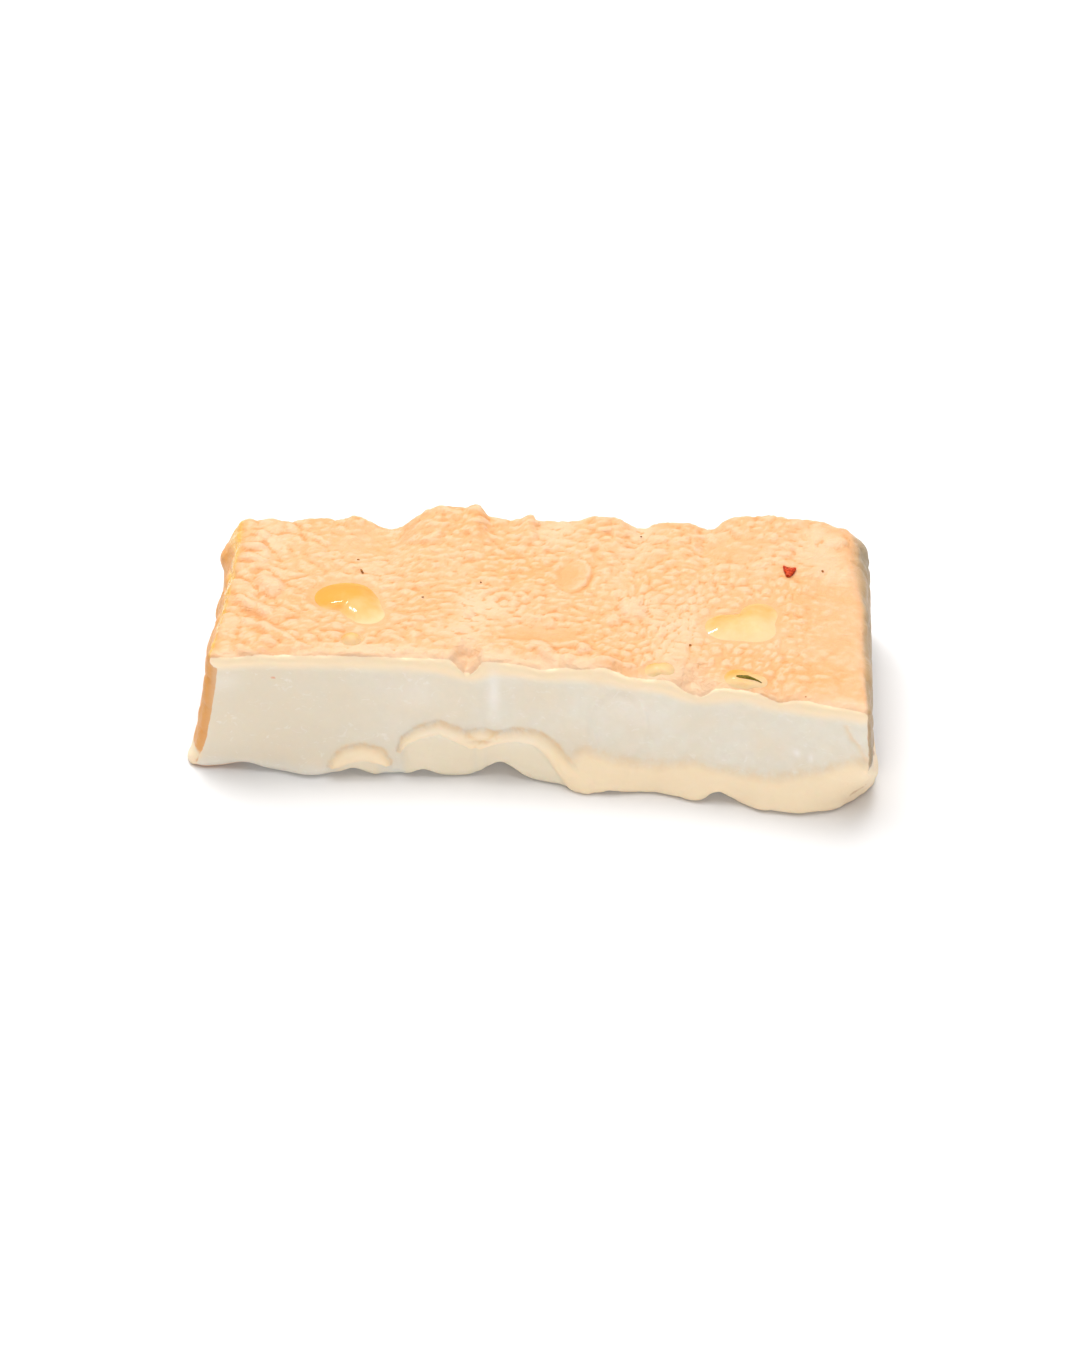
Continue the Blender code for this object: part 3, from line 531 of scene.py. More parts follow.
def rind_relief(points):
    """Relief of the top: coarse folds at the left, blisters right of the middle, and a smoother right end."""
    x, y = points[:, 0], points[:, 1]
    left, right = 1 - ease(x, *LEFT_ZONE), ease(x, *RIGHT_ZONE)
    knobbly = ease(x, *KNOBBLY_START) * (1 - right) * (1 - ease(y, *KNOBBLY_BACK))
    streaky = (1 - 0.7 * left) * (1 - 0.75 * knobbly) * (1 - 0.7 * right)
    slanted = points + np.stack([0 * x, FOLD_SLANT * np.minimum(x - SLANT_START, 0.0), 0 * x], 1)
    folds, wrinkles = pillows(slanted, FOLDS, 1), billows(points, WRINKLES, 5)
    ripples, blisters = billows(slanted, RIPPLES, 3), pillows(points, BLISTERS, 9)
    crinkles = pillows(points, CRINKLES, 13)
    rippled = (1 - 0.6 * right) * (1 - 0.5 * left) * (1 - 0.6 * knobbly)
    relief = FOLD_HEIGHT * (0.3 + 0.7 * left) * (1 - 0.5 * knobbly) * folds
    relief += WRINKLE_HEIGHT * streaky * wrinkles + RIPPLE_HEIGHT * rippled * ripples
    relief += BLISTER_HEIGHT * knobbly * blisters
    relief += CRINKLE_HEIGHT * (1 - 0.7 * right) * (1 - 0.6 * knobbly) * (crinkles - 0.5)
    for patch in SMOOTH:
        relief *= 1 - patch[4] * (1 - ease(oval(points, patch[:2], patch[2:4]), 0.6, 1.1))
    for lump in LUMPS:
        swell = np.clip(1 - oval(points, lump[:2], lump[2:4], lump[4]) ** 2, 0.0, 1.0)
        relief += lump[5] * swell
    flap = oval(points + 0.9 * drift(points, 4.0, 21), FLAP_AT, FLAP_SIZE)
    relief += FLAP_HEIGHT * (1 - ease(flap, 0.82, 1.0)) * ease(x, FLAP_AT[0] - 2.5, FLAP_AT[0] + 1.5)
    ring = np.hypot(x - WHORL_AT[0], y - WHORL_AT[1])
    waves = np.cos(2 * math.pi * (ring / WHORL_RING + 0.3 * drift(points, 3.0, 12)[:, 0]))
    relief += WHORL_HEIGHT * waves * np.exp(-((ring / WHORL_REACH) ** 2))
    for at_x, at_y, reach, count, depth in GATHERS:
        near = np.hypot(x - at_x, y - at_y)
        turn = np.arctan2(y - at_y, x - at_x) + 0.5 * drift(points, 3.0, 8)[:, 0]
        creases = (0.5 - 0.5 * np.cos(count * turn)) ** 3
        relief -= depth * (creases * np.exp(-((near / reach) ** 2)) * ease(near, 0.5, 2.5))
    for discs, _ in [*DROPS.values(), SMALL_DROP]:
        bed = 1 - ease(drop_share(points, discs), 1.0, BED_RIM)
        relief += (BED_LEVEL - relief) * bed
    return relief


def box_mesh(half, cells):
    """A box from -half to half, with its faces cut into cells of this length, depth and height."""
    mesh = bmesh.new()
    bmesh.ops.create_cube(mesh, size=2.0)
    for axis in range(3):
        along = [edge for edge in mesh.edges if abs((edge.verts[0].co - edge.verts[1].co)[axis]) > 1.0]
        cuts = round(2 * half[axis] / cells[axis]) - 1
        bmesh.ops.subdivide_edges(mesh, edges=along, cuts=cuts, use_grid_fill=True)
    bmesh.ops.scale(mesh, vec=Vector(half), verts=mesh.verts)
    return mesh


def points_of(mesh):
    """The places of a mesh's points."""
    return np.array([vert.co for vert in mesh.verts])


def move_to(mesh, points):
    """Moves a mesh's points to these places."""
    for vert, point in zip(mesh.verts, points):
        vert.co = point


def add_piece(name, mesh, finish, masks=None):
    """Makes a smooth piece of a mesh in the working millimetres, with its masks as values on its points."""
    bmesh.ops.translate(mesh, vec=-Vector((*MIDDLE, 0.0)), verts=mesh.verts)
    bmesh.ops.scale(mesh, vec=Vector((MM, MM, MM)), verts=mesh.verts)
    data = bpy.data.meshes.new(name)
    mesh.to_mesh(data)
    mesh.free()
    for mask, values in (masks or {}).items():
        data.attributes.new(mask, "FLOAT", "POINT").data.foreach_set("value", values.astype(np.float32))
    data.shade_smooth()
    data.materials.append(finish)
    made = bpy.data.objects.new(name, data)
    bpy.context.scene.collection.objects.link(made)
    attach(made, "root")
    return made


half = np.array([HALF_LENGTH, HALF_DEPTH, HEIGHT / 2])
cells = FINE_CELLS
slice_mesh = box_mesh(half, cells)
move_to(slice_mesh, slice_form(rounded(points_of(slice_mesh), half), half))
slice_mesh.normal_update()
points, normals = points_of(slice_mesh), np.array([vert.normal for vert in slice_mesh.verts])

# How much each point belongs to the top, the cut face, the sides and the underside, from the way it faces.
# The left and right ends count more than the back, and a high power keeps the borders between these narrow.
END_FACING, FACING_POWER = 1.4, 6
to_sides = np.maximum(END_FACING * np.abs(normals[:, 0]), normals[:, 1])
facing = np.stack([normals[:, 2], -normals[:, 1], to_sides, -normals[:, 2]], 1).clip(0.0) ** FACING_POWER
on_top, on_cut, on_side = (facing / facing.sum(1, keepdims=True)).T[:3]
toe = 0.3 * (1 - ease(points[:, 2], 2.0, 6.0))
on_cut = on_cut * (1 - ease(-normals[:, 0], 0.35 + toe, 0.5 + toe))
top, front, sides = on_top > 0.01, on_cut > 0.01, on_side > 0.01
relief, cream, seam, skirt = np.zeros((4, len(points)))
relief[top] += on_top[top] * rind_relief(points[top])
front_relief, cream[front], seam[front], skirt[front] = cut_relief(points[front])
relief[front] += on_cut[front] * front_relief
relief[sides] += on_side[sides] * SIDE_FOLD_HEIGHT * (pillows(points[sides], SIDE_FOLDS, 7) - 0.3)

# How far each point stands over the level of the rind round it: 0 in a crease and 1 on a crest. As a colour
# mask it paints shade into the creases and a highlight onto the crests.
starts, ends = np.array([[vert.index for vert in edge.verts] for edge in slice_mesh.edges]).T
neighbours = np.bincount(starts, minlength=len(points)) + np.bincount(ends, minlength=len(points))
level = relief.copy()
for _ in range(round((CREST_REACH / cells[0]) ** 2)):
    total = np.bincount(starts, level[ends], len(points)) + np.bincount(ends, level[starts], len(points))
    level = 0.5 * level + 0.5 * total / neighbours
crest_height = (relief - level) / CREST_RANGE
# Crests and creases are fainter and a little paler in the two dents and near the rim of the cut. In the dents
# that paleness is painted light, lifting the shade on their steep walls; near the rim it is the rind's own
# cream.
DENT_PAINTED_LIGHT, DENT_FAINTER = 0.3, 0.8
RIM_PALER, RIM_FAINTER, RIM_COOLER = 0.1, 0.6, 0.35
for at_x, at_y, reach, _, _ in GATHERS:
    near = np.exp(-((np.hypot(points[:, 0] - at_x, points[:, 1] - at_y) / reach) ** 2))
    crest_height += near * (DENT_PAINTED_LIGHT - DENT_FAINTER * crest_height)
rim_near = np.exp(-(((points[:, 1] - front_y(points[:, 0], np.ones(len(points)))) / RIM_CREAM) ** 2))
crest_height += 0.5 + rim_near * (RIM_PALER - RIM_FAINTER * crest_height)

# Warmer and paler patches of the rind: x, y, half length, half width, how much warmer. The two palest, at the
# dents of the front rim, are painted light that lifts the shade on the dents' steep walls.
PATCHES = (
    (2.0, 9.3, 8.0, 5.0, 0.9), (-18.7, 19.0, 12.0, 7.0, 0.6), (0.5, -10.9, 6.0, 3.5, 0.9),
    (-46.0, 24.4, 8.0, 4.0, 0.7), (14.0, 19.0, 6.0, 6.0, 0.5), (36.0, -20.0, 6.0, 4.0, 0.5),
    (52.0, -19.0, 9.0, 7.0, 0.7), (-30.0, -14.0, 10.0, 3.0, 0.5), (-7.3, -0.1, 7.0, 5.0, -1.0),
    (-15.0, -10.0, 11.0, 5.0, -0.6), (36.0, 11.0, 9.0, 5.0, -0.4), (18.3, -0.8, 6.0, 6.0, -0.7),
    (28.5, -20.5, 5.0, 4.5, -1.2), (-12.6, -18.5, 4.5, 5.0, -1.2), (18.0, 25.0, 5.0, 3.0, -0.6),
    (0.2, 24.4, 5.0, 3.0, -0.5), (54.0, 22.0, 5.0, 5.0, -0.4), (-53.0, 10.0, 6.0, 8.0, -0.3),
    (-50.0, -6.0, 6.0, 8.0, -0.3),
)
warmth = 0.5 + 0.25 * drift(points, 12.0, 11)[:, 0]
for at_x, at_y, long, wide, warmer in PATCHES:
    warmth += 0.45 * warmer * np.exp(-(oval(points, (at_x, at_y), (long, wide)) ** 2))
warmth -= RIM_COOLER * rim_near

# The paste reaches under the foot of the cut and round the toes at its two ends, where it is cream.
# It stops below the top left corner, which is rind. Each pair is the start and the end of a change.
FOOT_ENDS, FOOT_BACK, FOOT_TOP = (52.0, 57.0), (-17.5, -15.5), (4.0, 8.0)
LEFT_TOE_TOP, RIGHT_TOE_TOP, TOE_FADE, TOE_BACK = 4.5, 10.0, 1.5, (-17.0, -12.0)
CORNER_LEFT, CORNER_LOW = (59.0, 60.4), (19.0, 22.0)
at_foot = (1 - ease(np.abs(points[:, 0]), *FOOT_ENDS)) * (1 - ease(points[:, 1], *FOOT_BACK))
at_foot *= 1 - ease(points[:, 2], *FOOT_TOP)
toe_top = np.where(points[:, 0] < 0, LEFT_TOE_TOP, RIGHT_TOE_TOP)
at_toe = 1 - ease(points[:, 2], toe_top - TOE_FADE, toe_top + TOE_FADE)
at_toe = at_toe * (1 - ease(points[:, 1], *TOE_BACK)) * on_side
cream = np.maximum(np.maximum(cream, at_toe), ease(on_top, 0.02, 0.2))
cut = np.maximum(on_cut, np.maximum(at_foot, at_toe))
cut *= 1 - ease(-points[:, 0], *CORNER_LEFT) * ease(points[:, 2], *CORNER_LOW)
seam = np.maximum(seam, 3.0 * at_toe * (1 - at_toe) * (points[:, 0] < 0))

# The flanks are the rind of the two ends, and brine has soaked the edge between the top and the left one.
FLANK_START, FLANK_BACK, BRINE_START = (50.0, 57.0), (0.3, 0.8), (54.0, 57.0)
at_ends = ease(np.abs(points[:, 0]), *FLANK_START)
flank = on_side * at_ends * (1 - ease(normals[:, 1], *FLANK_BACK)) * (1 - cut)
brine = (4 * on_side * on_top) ** 0.3 * ease(-points[:, 0], *BRINE_START)

# Paler streaks and spots in the paste, and one red speck: x, height, half width, half height, how pale. The
# three wide faint marks along the crests of the rolls, at heights 5 to 10, are a painted highlight where the
# rolls catch the light from above.
PALE_MARKS_AND_ROLL_LIGHT = (
    (-7.4, 18.0, 1.1, 4.5, 0.8), (49.0, 12.2, 0.6, 0.7, 0.9), (51.6, 11.5, 0.4, 0.8, 0.7),
    (48.8, 8.4, 0.3, 0.4, 0.7), (-48.1, 20.6, 0.5, 0.3, -1.0), (-18.0, 10.0, 7.0, 2.2, 0.3),
    (-2.0, 9.2, 6.0, 2.2, 0.3), (-32.0, 5.0, 4.0, 2.0, 0.15), (-22.0, 17.0, 5.0, 3.0, 0.25),
    (20.0, 17.0, 6.0, 3.0, 0.3), (-57.0, 20.0, 3.0, 2.0, 0.3),
)
pale = np.zeros(len(points))
for at_x, at_z, wide, high, paler in PALE_MARKS_AND_ROLL_LIGHT:
    pale += paler * np.exp(-((points[:, 0] - at_x) / wide) ** 2 - ((points[:, 2] - at_z) / high) ** 2)

slice_masks = {
    "crest": crest_height, "warmth": warmth, "cut": cut, "cream": cream, "seam": seam,
    "skirt": skirt, "flank": flank, "brine": brine, "pale": pale,
}

points += normals * relief[:, None]
points[:, 2] = np.maximum(points[:, 2], 0.0)
move_to(slice_mesh, points)
slice_surface = BVHTree.FromBMesh(slice_mesh)

# Colours of the rind.
PEACH, WARM_PEACH, CREAM = (0.77, 0.44, 0.23), (0.75, 0.39, 0.165), (0.79, 0.535, 0.34)
ORANGE, BURNT_DOT, BRINE = (0.68, 0.31, 0.11), (0.45, 0.13, 0.03), (0.83, 0.48, 0.13)
FLANK_ORANGE, FLANK_BROWN, FLANK_GREY = (0.78, 0.36, 0.09), (0.50, 0.33, 0.17), (0.40, 0.31, 0.20)
# Colours of the paste.
IVORY, WARM_IVORY, DIM_IVORY = (0.83, 0.775, 0.665), (0.84, 0.74, 0.59), (0.78, 0.71, 0.58)
# SKIRT_IVORY is a warmer ivory, painted lighter than the paste to lift the shade under the rolls.
OLD_IVORY, SKIRT_IVORY, LIP_CREAM = (0.80, 0.69, 0.53), (0.88, 0.77, 0.59), (0.98, 0.78, 0.54)
FOOT_WHITE, WHITE_FLECK = (0.82, 0.79, 0.72), (0.93, 0.88, 0.81)
SEAM_ORANGE, RUST = (0.90, 0.62, 0.33), (0.80, 0.30, 0.14)
# How many patches each noise has in a metre.
CLOUDS, MOTTLES, GRAINS, FINE_WRINKLES, DOT_CELLS = 90.0, 420.0, 1500.0, 1000.0, 160.0

rind_and_paste, shader = new_material("ripe_rind_and_paste")
tree = rind_and_paste.node_tree
place = add_node(tree, "ShaderNodeTexCoord").outputs["Object"]


def mask_value(tree, name):
    """One of the masks that the piece carries on its points."""
    return add_node(tree, "ShaderNodeAttribute", {"attribute_name": name}).outputs["Fac"]


def dots(tree, place, scale, size, share):
    """Small round dots, 1 inside a dot. Scale counts their cells in a metre, and this share has a dot."""
    cells = add_node(tree, "ShaderNodeTexVoronoi", None, Vector=place, Scale=scale)
    inside = map_range(tree, cells.outputs["Distance"], 0.5 * size, size, 1.0, 0.0)
    channel = add_node(tree, "ShaderNodeSeparateColor", None, Color=cells.outputs["Color"]).outputs[0]
    return maths(tree, "MULTIPLY", inside, maths(tree, "LESS_THAN", channel, share))


def stretched(tree, place, factors):
    """The same place with each axis scaled: a pattern on it is drawn out along axes with small factors."""
    made = add_node(tree, "ShaderNodeMapping", None, Vector=place)
    made.inputs["Scale"].default_value = factors
    return made.outputs[0]


masks = {name: mask_value(tree, name) for name in slice_masks}
cloud, mottle = noise_field(tree, place, CLOUDS, 4.0), noise_field(tree, place, MOTTLES, 3.0, 0.6)
fine = noise_field(tree, place, GRAINS, 3.0, 0.6)

# The rind: warm patches, orange in the creases and pale on the crests, with a few burnt dots. The crease
# orange is partly the rind's own colour and partly painted shade, and the pale crests are partly a painted
# highlight.
# The left end is more orange, like the strip of the top beside it, and the right end is browner.
patches = maths(tree, "ADD", masks["warmth"], map_range(tree, cloud, 0.3, 0.7, -0.25, 0.25))
rind_colour = mix_colours(tree, map_range(tree, patches, 0.3, 1.1), PEACH, WARM_PEACH)
rind_colour = mix_colours(tree, map_range(tree, patches, 0.45, 0.0), rind_colour, CREAM)
# The crest mask paints shade into the creases and a highlight onto the crests, over the rind's own orange and
# cream.
crest = maths(tree, "ADD", masks["crest"], map_range(tree, mottle, 0.3, 0.7, -0.1, 0.1))
rind_colour = mix_colours(tree, map_range(tree, crest, 0.36, 0.0, 0.0, 0.75), rind_colour, ORANGE)
rind_colour = mix_colours(tree, map_range(tree, crest, 0.38, 0.9, 0.0, 0.8), rind_colour, CREAM)
rind_colour = mix_colours(tree, dots(tree, place, DOT_CELLS, 0.05, 0.25), rind_colour, BURNT_DOT)
flank_colour = mix_colours(tree, map_range(tree, cloud, 0.35, 0.65), FLANK_BROWN, FLANK_GREY)
along_x = add_node(tree, "ShaderNodeSeparateXYZ", None, Vector=place).outputs[0]
left_flank = mix_colours(tree, map_range(tree, mottle, 0.45, 0.75), FLANK_ORANGE, WARM_PEACH)
flank_colour = mix_colours(tree, map_range(tree, along_x, 0.0, 0.04), left_flank, flank_colour)
left_strip = map_range(tree, along_x, -0.0565, -0.0605, 0.0, 0.7)
rind_colour = mix_colours(tree, left_strip, rind_colour, FLANK_ORANGE)
rind_colour = mix_colours(tree, masks["flank"], rind_colour, flank_colour)
rind_colour = mix_colours(tree, map_range(tree, masks["brine"], 0.35, 0.9), rind_colour, BRINE)

# The paste: ivory with soft warm clouds and short white flecks, older at the left and whiter at the foot.
# It is cream where rind laps over it, with orange seams between the folds.
paste_colour = mix_colours(tree, map_range(tree, cloud, 0.35, 0.7), IVORY, WARM_IVORY)
paste_colour = mix_colours(tree, map_range(tree, along_x, -0.01, -0.05, 0.0, 0.8), paste_colour, OLD_IVORY)
flecks = noise_field(tree, stretched(tree, place, (1.0, 1.0, 1.6)), MOTTLES, 2.0, 0.5, 1.5)
paste_colour = mix_colours(tree, map_range(tree, flecks, 0.6, 0.75, 0.0, 0.45), paste_colour, WHITE_FLECK)
paste_colour = mix_colours(tree, map_range(tree, mottle, 0.35, 0.65, 0.0, 0.35), paste_colour, DIM_IVORY)
foot_height = add_node(tree, "ShaderNodeSeparateXYZ", None, Vector=place).outputs[2]
at_floor = map_range(tree, foot_height, 0.004, 0.001, 0.0, 0.6)
paste_colour = mix_colours(tree, at_floor, paste_colour, FOOT_WHITE)
paste_colour = mix_colours(tree, map_range(tree, masks["pale"], -0.2, -0.8, 0.0, 0.7), paste_colour, RUST)
# Under each roll the paste is painted a lighter, warmer ivory, which lifts the shade that the roll casts
# there.
paste_colour = mix_colours(tree, masks["skirt"], paste_colour, SKIRT_IVORY)
paste_colour = mix_colours(tree, masks["cream"], paste_colour, LIP_CREAM)
# The pale mask also paints a highlight along the crests of the rolls.
paste_colour = mix_colours(tree, masks["pale"], paste_colour, WHITE_FLECK)
seam_share = maths(tree, "MULTIPLY", masks["seam"], map_range(tree, mottle, 0.35, 0.65, 0.1, 0.7))
paste_colour = mix_colours(tree, seam_share, paste_colour, SEAM_ORANGE)

# Rind and paste meet along a slightly ragged line.
ragged_cut = maths(tree, "ADD", masks["cut"], map_range(tree, mottle, 0.3, 0.7, -0.15, 0.15))
ragged_cut = maths(tree, "ADD", ragged_cut, map_range(tree, cloud, 0.35, 0.65, -0.15, 0.15))
cut_share = map_range(tree, ragged_cut, 0.3, 0.6)
tree.links.new(mix_colours(tree, cut_share, rind_colour, paste_colour), shader.inputs["Base Color"])

# The surface is waxy, wet where brine has soaked it, and finely wrinkled, less so on the cut.
dull = map_range(tree, mottle, 0.3, 0.7, 0.36, 0.5)
tree.links.new(map_range(tree, masks["brine"], 0.35, 0.9, dull, 0.16), shader.inputs["Roughness"])
shader.inputs["Subsurface Weight"].default_value = 0.3
shader.inputs["Subsurface Radius"].default_value = (1.0, 0.6, 0.35)
shader.inputs["Subsurface Scale"].default_value = 0.001
shader.inputs["Specular IOR Level"].default_value = 0.3
on_rind = map_range(tree, masks["cut"], 0.0, 0.6, 0.8, 0.25)
wrinkle = noise_field(tree, stretched(tree, place, (0.6, 1.0, 1.0)), FINE_WRINKLES, 1.0, 0.5, 0.6)
wrinkle = maths(tree, "ABSOLUTE", maths(tree, "SUBTRACT", wrinkle, 0.5))
bump = add_node(tree, "ShaderNodeBump", None, Strength=on_rind, Distance=0.0004, Height=wrinkle).outputs[0]
soft_bump = add_node(tree, "ShaderNodeBump", None, Strength=0.6, Distance=0.0002, Height=mottle, Normal=bump)
bump = soft_bump.outputs[0]
grain_bump = add_node(tree, "ShaderNodeBump", None, Strength=0.5, Distance=0.00006, Height=fine, Normal=bump)
tree.links.new(grain_bump.outputs[0], shader.inputs["Normal"])

cheese = add_piece("cheese_slice", slice_mesh, rind_and_paste, slice_masks)
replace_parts(cheese, "cheese_brick")


# The oil
# Thick golden oil from the jar stands on the rind in two pools, two flat drops at the rim and a small bead.
# Each is held by its own skin, so it has a round edge and a smooth dome. It is painted deeper in colour
# toward its far side, a painted shade that rounds the dome, and a little paler round its very edge, a painted
# light.

RINGS, SECTORS = 16, 80
# The way in which a drop is painted deeper in colour as shade, how far its edge may hang down, and how far it
# is sunk in.
PAINTED_SHADE_WAY, DROP_FALL, DROP_SINK = (-0.45, 1.0), 0.8, 0.15
PALE_OIL, AMBER_OIL = (0.85, 0.60, 0.33), (0.79, 0.37, 0.065)
drop_surfaces = {}


def level_under(surfaces, x, y):
    """Height of the highest of some surfaces straight below a place."""
    hits = [surface.ray_cast(Vector((x, y, 2 * HEIGHT)), Vector((0, 0, -1)))[0] for surface in surfaces]
    return max(hit.z for hit in hits if hit)


def add_drop(name, discs, height, richness):
    """Adds a drop of oil, a dome a little sunk into the rind. Richness deepens its colour."""
    middle = drop_middle(discs)
    mesh = bmesh.new()
    bmesh.ops.create_uvsphere(mesh, u_segments=SECTORS, v_segments=2 * RINGS, radius=1.0)
    ball = points_of(mesh)
    angles = np.arctan2(ball[:, 1], ball[:, 0])
    out = np.arccos(np.abs(ball[:, 2]).clip(0.0, 1.0)) / (math.pi / 2)
    away = (out * drop_outline(discs, angles))[:, None] * np.stack([np.cos(angles), np.sin(angles)], 1)
    base = np.array([level_under([slice_surface], *at) for at in middle + away])
    base = np.maximum(base, base.max() - DROP_FALL) - DROP_SINK
    dome = np.where(ball[:, 2] > 0, height + DROP_SINK, -DROP_SINK) * (1 - out**2.2).clip(0.0)
    move_to(mesh, np.column_stack([middle + away, base + dome]))
    drop_surfaces[name] = BVHTree.FromBMesh(mesh)
    far_side = (away @ np.array(PAINTED_SHADE_WAY)) / np.abs(away).max()
    # The oil is painted darker toward its far side as shade, and paler in the last quarter of the way to its
    # outline as light.
    amber_and_painted_light = richness + 0.5 * far_side - 0.2 * ease(out, 0.75, 1.0)
    return add_piece(name, mesh, golden_oil, {"amber_and_painted_light": amber_and_painted_light})


golden_oil, oil_shader = new_material("golden_oil")
oil_tree = golden_oil.node_tree
oil_place = add_node(oil_tree, "ShaderNodeTexCoord").outputs["Object"]
oil_cloud = map_range(oil_tree, noise_field(oil_tree, oil_place, 260.0, 3.0), 0.3, 0.7, -0.12, 0.12)
oil_depth = maths(oil_tree, "ADD", mask_value(oil_tree, "amber_and_painted_light"), oil_cloud)
oil_colour = mix_colours(oil_tree, map_range(oil_tree, oil_depth, 0.0, 1.0), PALE_OIL, AMBER_OIL)
oil_tree.links.new(oil_colour, oil_shader.inputs["Base Color"])
oil_ripple = noise_field(oil_tree, oil_place, 500.0)
oil_bump = add_node(oil_tree, "ShaderNodeBump", None, Strength=0.15, Distance=0.0002, Height=oil_ripple)
oil_tree.links.new(oil_bump.outputs[0], oil_shader.inputs["Normal"])
oil_shader.inputs["Roughness"].default_value = 0.07
oil_shader.inputs["Subsurface Weight"].default_value = 0.25
oil_shader.inputs["Subsurface Radius"].default_value = (1.0, 0.6, 0.2)
oil_shader.inputs["Subsurface Scale"].default_value = 0.001

RICHNESS = {"oil_pool_left": 0.75, "oil_pool_right": 0.42, "oil_drop_rim": 0.4, "oil_drop_leaf": 0.45}
BEAD_RICHNESS = 0.5
for name, (discs, height) in DROPS.items():
    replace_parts(add_drop(name + "_dressed", discs, height, RICHNESS[name]), name)
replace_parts(add_drop("oil_bead", *SMALL_DROP, BEAD_RICHNESS), "cheese_brick")


# The chilli flake, the herb and the specks
# Dried seasoning from the marinade: a flat red flake of chilli, a dark sliver of herb in a drop, and crumbs.
# Each lies on the rind or the oil and sticks to it.

FLAKE_AT, FLAKE_RADIUS, FLAKE_THICK = (46.0, 12.8), 1.6, 0.5
FLAKE_CORNERS = ((-1.2, 1.4), (0.1, 1.1), (1.4, 0.5), (0.9, -0.6), (0.2, -1.4), (-0.5, -1.2), (-1.0, 0.1))
LEAF_AT, LEAF_LENGTH, LEAF_WIDTH, LEAF_THICK, LEAF_TURN = (39.6, -20.4), 4.8, 0.6, 0.2, -9
# How deep a chip is sunk in, and how much the flake and the leaf curl.
CHIP_SINK, FLAKE_CURL, LEAF_CURL = 0.1, 0.35, 0.2
# Crumbs: x, y, length, width, turn in degrees.
CRUMBS = (
    (-34.9, 7.6, 1.5, 0.4, -62), (-36.0, 11.0, 0.5, 0.35, 0), (-22.4, -0.6, 0.5, 0.35, 20),
    (28.4, -10.6, 0.6, 0.4, 30), (52.3, 13.6, 0.5, 0.5, 0), (43.0, -2.0, 0.35, 0.35, 0),
    (-12.0, 5.5, 0.4, 0.3, 0), (17.5, 22.5, 0.4, 0.3, 0),
)
CRUMB_HEIGHT, CRUMB_LIFT, CRUMB_ROUGHNESS = 0.3, 0.05, 0.12


def add_chip(name, outline, thickness, finish, surfaces, bend):
    """Adds a flat chip with this outline, wavy and laid on the highest of the surfaces below it."""
    mesh = bmesh.new()
    bmesh.ops.create_circle(mesh, cap_ends=True, segments=len(outline), radius=1.0)
    move_to(mesh, np.column_stack([outline, np.zeros(len(outline))]))
    bmesh.ops.subdivide_edges(mesh, edges=mesh.edges, cuts=2, use_grid_fill=False)
    bmesh.ops.triangulate(mesh, faces=mesh.faces)
    bmesh.ops.subdivide_edges(mesh, edges=mesh.edges, cuts=1, use_grid_fill=True)
    skin = list(mesh.faces)
    top = bmesh.ops.extrude_face_region(mesh, geom=skin)["geom"]
    raised = {item for item in top if isinstance(item, bmesh.types.BMVert)}
    bmesh.ops.recalc_face_normals(mesh, faces=mesh.faces)
    middle = np.mean(outline, 0)
    for vert in mesh.verts:
        at = Vector(vert.co)
        level = level_under(surfaces, at.x, at.y)
        curl = bend * noise.noise(Vector((at.x, at.y, 3.7)) * 0.9)
        edge = math.hypot(at.x - middle[0], at.y - middle[1])
        lift = thickness * (1 - 0.25 * edge / FLAKE_RADIUS) if vert in raised else -CHIP_SINK
        vert.co.z = level + abs(curl) + lift
    return add_piece(name, mesh, finish)


def speckled(name, dark, light, roughness):
    """A dry material that runs between two colours in small patches."""
    finish, shader = new_material(name)
    tree = finish.node_tree
    place = add_node(tree, "ShaderNodeTexCoord").outputs["Object"]
    patch = noise_field(tree, place, 2200.0, 3.0)
    colour = mix_colours(tree, map_range(tree, patch, 0.35, 0.65), dark, light)
    tree.links.new(colour, shader.inputs["Base Color"])
    relief = add_node(tree, "ShaderNodeBump", None, Strength=0.5, Distance=0.0001, Height=patch)
    tree.links.new(relief.outputs[0], shader.inputs["Normal"])
    shader.inputs["Roughness"].default_value = roughness
    shader.inputs["Specular IOR Level"].default_value = 0.2
    return finish


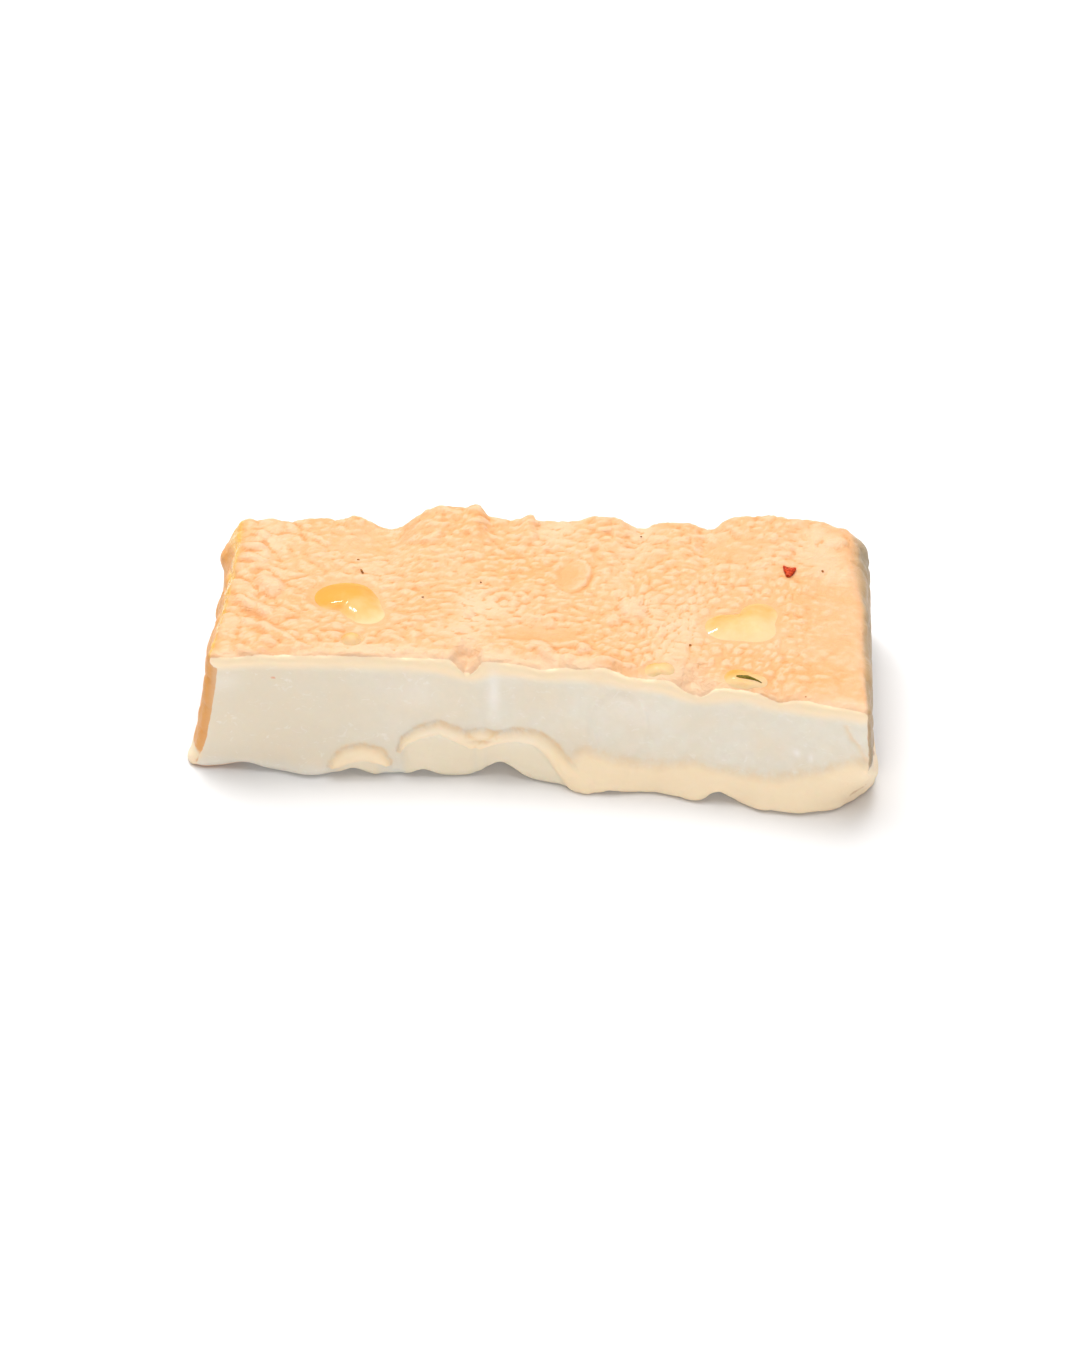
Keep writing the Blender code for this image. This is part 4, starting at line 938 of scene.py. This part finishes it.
dried_chilli = speckled("dried_chilli", (0.36, 0.022, 0.006), (0.74, 0.09, 0.025), 0.3)
herb_green = speckled("dried_herb", (0.09, 0.085, 0.006), (0.26, 0.17, 0.02), 0.4)
burnt_crumb = speckled("burnt_crumb", (0.20, 0.065, 0.012), (0.45, 0.17, 0.03), 0.5)

flake_outline = np.array(FLAKE_AT) + np.array(FLAKE_CORNERS)
on_slice = [slice_surface]
flake = add_chip("chilli_flake", flake_outline, FLAKE_THICK, dried_chilli, on_slice, FLAKE_CURL)
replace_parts(flake, "cheese_brick")

# The leaf's outline runs along one edge and back along the other, wider at its left end.
along = np.linspace(-1.0, 1.0, 13)
half_width = 0.5 * LEAF_WIDTH * np.sqrt(1 - along**2) * (0.9 - 0.6 * along)
there, back = np.column_stack([along, half_width]), np.column_stack([along, -half_width])[-2:0:-1]
leaf_cos, leaf_sin = math.cos(math.radians(LEAF_TURN)), math.sin(math.radians(LEAF_TURN))
leaf_outline = np.concatenate([there, back]) * (0.5 * LEAF_LENGTH, 1.0)
leaf_outline = np.array(LEAF_AT) + leaf_outline @ np.array([[leaf_cos, leaf_sin], [-leaf_sin, leaf_cos]])
on_drop = [slice_surface, drop_surfaces["oil_drop_leaf_dressed"]]
leaf = add_chip("herb_sliver", leaf_outline, LEAF_THICK, herb_green, on_drop, LEAF_CURL)
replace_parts(leaf, "oil_drop_leaf")

crumb_mesh = bmesh.new()
for x, y, length, width, turn in CRUMBS:
    made = bmesh.ops.create_icosphere(crumb_mesh, subdivisions=3, radius=0.5)["verts"]
    bmesh.ops.scale(crumb_mesh, vec=Vector((length, width, CRUMB_HEIGHT)), verts=made)
    bmesh.ops.rotate(crumb_mesh, matrix=Matrix.Rotation(math.radians(turn), 3, "Z"), verts=made)
    level = level_under([slice_surface], x, y)
    for vert in made:
        vert.co += CRUMB_ROUGHNESS * noise.noise_vector((vert.co + Vector((x, y, 0))) * 2.3)
        vert.co += Vector((x, y, level + CRUMB_LIFT))
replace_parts(add_piece("crumbs", crumb_mesh, burnt_crumb), "cheese_brick")
